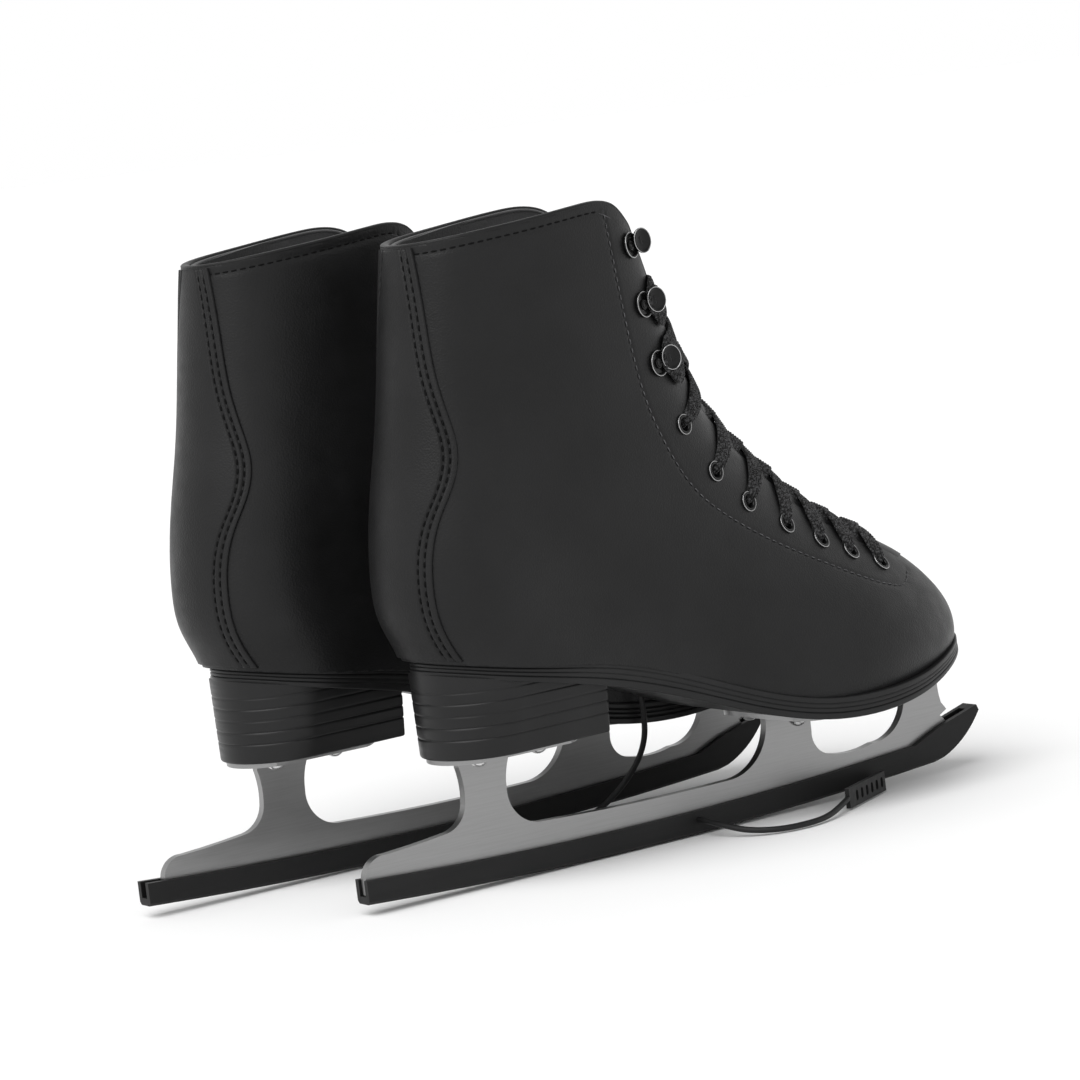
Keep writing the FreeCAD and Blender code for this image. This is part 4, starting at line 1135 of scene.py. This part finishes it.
def make_outsole():
    count = 520
    ring, outwards = sole_ring(count)
    low = side_line(TREAD, ring[:, 0])
    high = side_line(SEAT, ring[:, 0])
    levels = np.unique(np.concatenate((np.linspace(0, 1, 34), (0.02, 0.05, 0.95, 0.98))))
    inset = groove(levels, (0.30, 0.52, 0.72), 0.36, 0.03)
    for gap in (levels, 1 - levels):
        inset -= 0.5 * (1 - rounded(gap, 0.08))
    inset += np.where(levels < 0.30, 0.2, 0.0)
    rows = []
    for share, shift in zip(levels, inset):
        xy = ring + outwards * shift
        rows.append(np.column_stack((xy, low + (high - low) * share)))
    wall = np.concatenate(rows)
    shape = Shape()
    faces = grid_faces(len(levels), count, closed=True)
    for row, flip in ((0, True), (len(levels) - 1, False)):
        edge = rows[row]
        centre_y = np.interp(edge[:, 0], (-95, 60, 170), (0.0, 0.5, 5.5))
        inner = []
        for share in (0.93, 0.8, 0.55, 0.3, 0.1):
            y = centre_y + (edge[:, 1] - centre_y) * share
            inner.append(np.column_stack((edge[:, 0], y, edge[:, 2])))
        base = len(wall)
        wall = np.concatenate([wall] + inner)
        before = row * count
        for step in range(len(inner)):
            after = base + step * count
            for c in range(count):
                d = (c + 1) % count
                quad = (before + c, before + d, after + d, after + c)
                faces.append(quad[::-1] if flip else quad)
            before = after
        faces.append(tuple(before + c for c in range(count))[::-1 if flip else 1])
    shape.add(wall, faces)
    build("outsole", shape, SOLE_LOOK, ["outsole"], sharp=55)


def heel_outline(z, count):
    """One level of the heel: a round back, straight sides and a flat breast with soft corners."""
    share = (z - HEEL_BOTTOM_Z) / HEEL_HEIGHT
    radius = HEEL_BOTTOM_R + share * (HEEL_TOP_R - HEEL_BOTTOM_R)
    middle = HEEL_REAR_X + radius
    sides = radius - 1.5
    corner = 1.6
    angle = np.linspace(-math.pi / 2, -3 * math.pi / 2, 90)
    back = np.column_stack((middle + radius * np.cos(angle), radius * np.sin(angle)))
    turn = np.linspace(math.pi / 2, 0, 7)
    near = np.column_stack((np.cos(turn) - 1, np.sin(turn) - 1)) * corner + (HEEL_BREAST_X, sides)
    loop = np.concatenate((back, near, near[::-1] * (1, -1)))
    return even_loop(loop, count)


def even_loop(loop, count):
    closed = np.concatenate((loop, loop[:1]))
    along = np.concatenate(([0.0], np.cumsum(np.linalg.norm(np.diff(closed, axis=0), axis=1))))
    where = np.arange(count) * along[-1] / count
    return np.stack([np.interp(where, along, closed[:, c]) for c in (0, 1)], 1)


def make_heel():
    count = 300
    grooves = (62.0, 66.8, 71.6, 76.4, 81.0)
    levels = np.concatenate((np.arange(HEEL_BOTTOM_Z, 56.0, 0.25), np.arange(56.0, 93.0, 0.35)))
    inset = groove(levels, grooves, 0.36, 0.36)
    inset -= 0.9 * (1 - rounded(levels - HEEL_BOTTOM_Z, 1.0))
    rows = []
    for z, shift in zip(levels, inset):
        loop = heel_outline(z, count)
        ahead = np.roll(loop, -1, 0) - np.roll(loop, 1, 0)
        outwards = unit(np.column_stack((-ahead[:, 1], ahead[:, 0])))
        rows.append(np.column_stack((loop + outwards * shift, np.full(count, z))))
    points = np.concatenate(rows)
    faces = grid_faces(len(levels), count, closed=True, flip=True)
    data, faces = clip(points, faces, side_line(TREAD, points[:, 0]) + 0.6 - points[:, 2])
    loops = edge_loops(faces)
    for loop in loops:
        faces.append(tuple(loop[::-1]))
    shape = Shape()
    shape.add(data, faces)
    build("heel", shape, HEEL_LOOK, ["heel"], sharp=50)


# ---- guard straps ----------------------------------------------------------
STRAP_D = 2.5
RIGHT_STRAP = ((26.0, -4.6, 6.0), (26.0, -9.6, 6.0), (28.0, -18.0, 4.6), (33.0, -28.0, 2.2),
               (43.0, -36.0, 1.3), (56.0, -38.5, 1.3), (68.0, -36.0, 1.5), (78.0, -31.0, 3.0),
               (86.0, -26.2, 4.5))
LEFT_STRAP = ((18.0, -4.6, 6.0), (18.0, -9.4, 6.0), (21.0, -17.0, 4.2), (31.0, -24.0, 2.2),
              (43.0, -27.5, 1.4), (54.0, -28.5, 2.6), (64.0, -30.0, 7.0), (72.0, -34.0, 14.5),
              (76.5, -40.5, 24.0), (78.0, -46.0, 34.0), (77.5, -48.5, 44.5), (76.5, -49.0, 56.0),
              (76.5, -49.0, 66.0))
STRAPS = {"right": (RIGHT_STRAP, 0.0836), "left": (LEFT_STRAP, 0.1271)}


def make_straps():
    for side, (route, length) in STRAPS.items():
        curve = bpy.data.curves.new(f"{side}_guard_strap_look", "CURVE")
        curve.dimensions = "3D"
        line = curve.splines.new("NURBS")
        line.points.add(len(route) - 1)
        for point, (x, y, z) in zip(line.points, route):
            where = np.array([x, y, z]) * MM + ORIGIN[side]
            point.co = (*where, 1.0)
        line.order_u = 3
        line.use_endpoint_u = True
        line.resolution_u = 16
        curve.bevel_depth = STRAP_D * MM / 2
        curve.bevel_resolution = 8
        curve.use_fill_caps = True
        curve.materials.append(STRAP_LOOK)
        obj = add_object(curve.name, curve)
        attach(obj, f"{side}_guard")
        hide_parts(f"{side}_guard_strap")


# ---- the studio ------------------------------------------------------------
FLOOR_HALF = 40.0
FLOOR_Z = -0.0006


def make_floor():
    corners = ((-1, -1), (1, -1), (1, 1), (-1, 1))
    points = [(x * FLOOR_HALF, y * FLOOR_HALF, FLOOR_Z) for x, y in corners]
    paint = Paint("floor", 0.9)
    paint.colour(paint.noise(even(2)), even(0.89), even(0.9))
    floor = make_object("floor", points, [(0, 1, 2, 3)], paint.material)


SUN_POWER = 2.6


def sun(name, place_at, power, spread):
    light = bpy.data.lights.new(name, "SUN")
    light.energy = power
    light.angle = spread
    obj = add_object(name, light)
    obj.rotation_euler = Vector(place_at).to_track_quat("Z", "Y").to_euler()


ROOM_SIDES = 1.0
ROOM_TOP = 0.3


def make_world():
    """A white room, dimmer overhead, with a broad soft sun."""
    world = bpy.data.worlds.new("studio")
    bpy.context.scene.world = world
    world.use_nodes = True
    nodes, links = world.node_tree.nodes, world.node_tree.links
    room = nodes["Background"]
    room.inputs["Color"].default_value = (1, 1, 1, 1)
    way = nodes.new("ShaderNodeTexCoord")
    split = nodes.new("ShaderNodeSeparateXYZ")
    spread = nodes.new("ShaderNodeMapRange")
    for socket, value in (("From Min", 0.3), ("From Max", 0.9), ("To Min", ROOM_SIDES), ("To Max", ROOM_TOP)):
        spread.inputs[socket].default_value = value
    links.new(way.outputs["Generated"], split.inputs["Vector"])
    links.new(split.outputs["Z"], spread.inputs["Value"])
    links.new(spread.outputs["Result"], room.inputs["Strength"])
    bpy.context.scene.view_settings.view_transform = "Standard"
    sun("key", (-1.0, -0.35, 1.5), SUN_POWER, 1.0)


CAMERA_AT = (-0.8705, -1.3934, 0.3129)
CAMERA_TURN = math.radians(32.0)
CAMERA_FALL = math.radians(6.5)
CAMERA_ROLL = math.radians(7.1)
LENS_MM = 133.33


def make_camera():
    """Seen from behind the right skate's outer side, low, with the pair tipped nose-up."""
    turn, fall, roll = CAMERA_TURN, CAMERA_FALL, CAMERA_ROLL
    ahead = Vector((math.sin(turn) * math.cos(fall), math.cos(turn) * math.cos(fall), -math.sin(fall)))
    right = Vector((math.cos(turn), -math.sin(turn), 0.0))
    up = right.cross(ahead)
    right_rolled = math.cos(roll) * right - math.sin(roll) * up
    up_rolled = math.cos(roll) * up + math.sin(roll) * right
    matrix = Matrix((right_rolled, up_rolled, -ahead)).transposed().to_4x4()
    matrix.translation = CAMERA_AT
    camera = bpy.data.cameras.new("camera")
    camera.sensor_width = 36.0
    camera.lens = LENS_MM
    camera.clip_start = 0.05
    camera.clip_end = 30.0
    obj = add_object("camera", camera)
    obj.matrix_world = matrix
    bpy.context.scene.camera = obj


paint_nodes()
make_upper()
make_backstay()
make_lining()
make_tongue()
make_laces()
make_eyelets()
make_hooks()
make_outsole()
make_heel()
make_straps()
make_floor()
make_world()
make_camera()
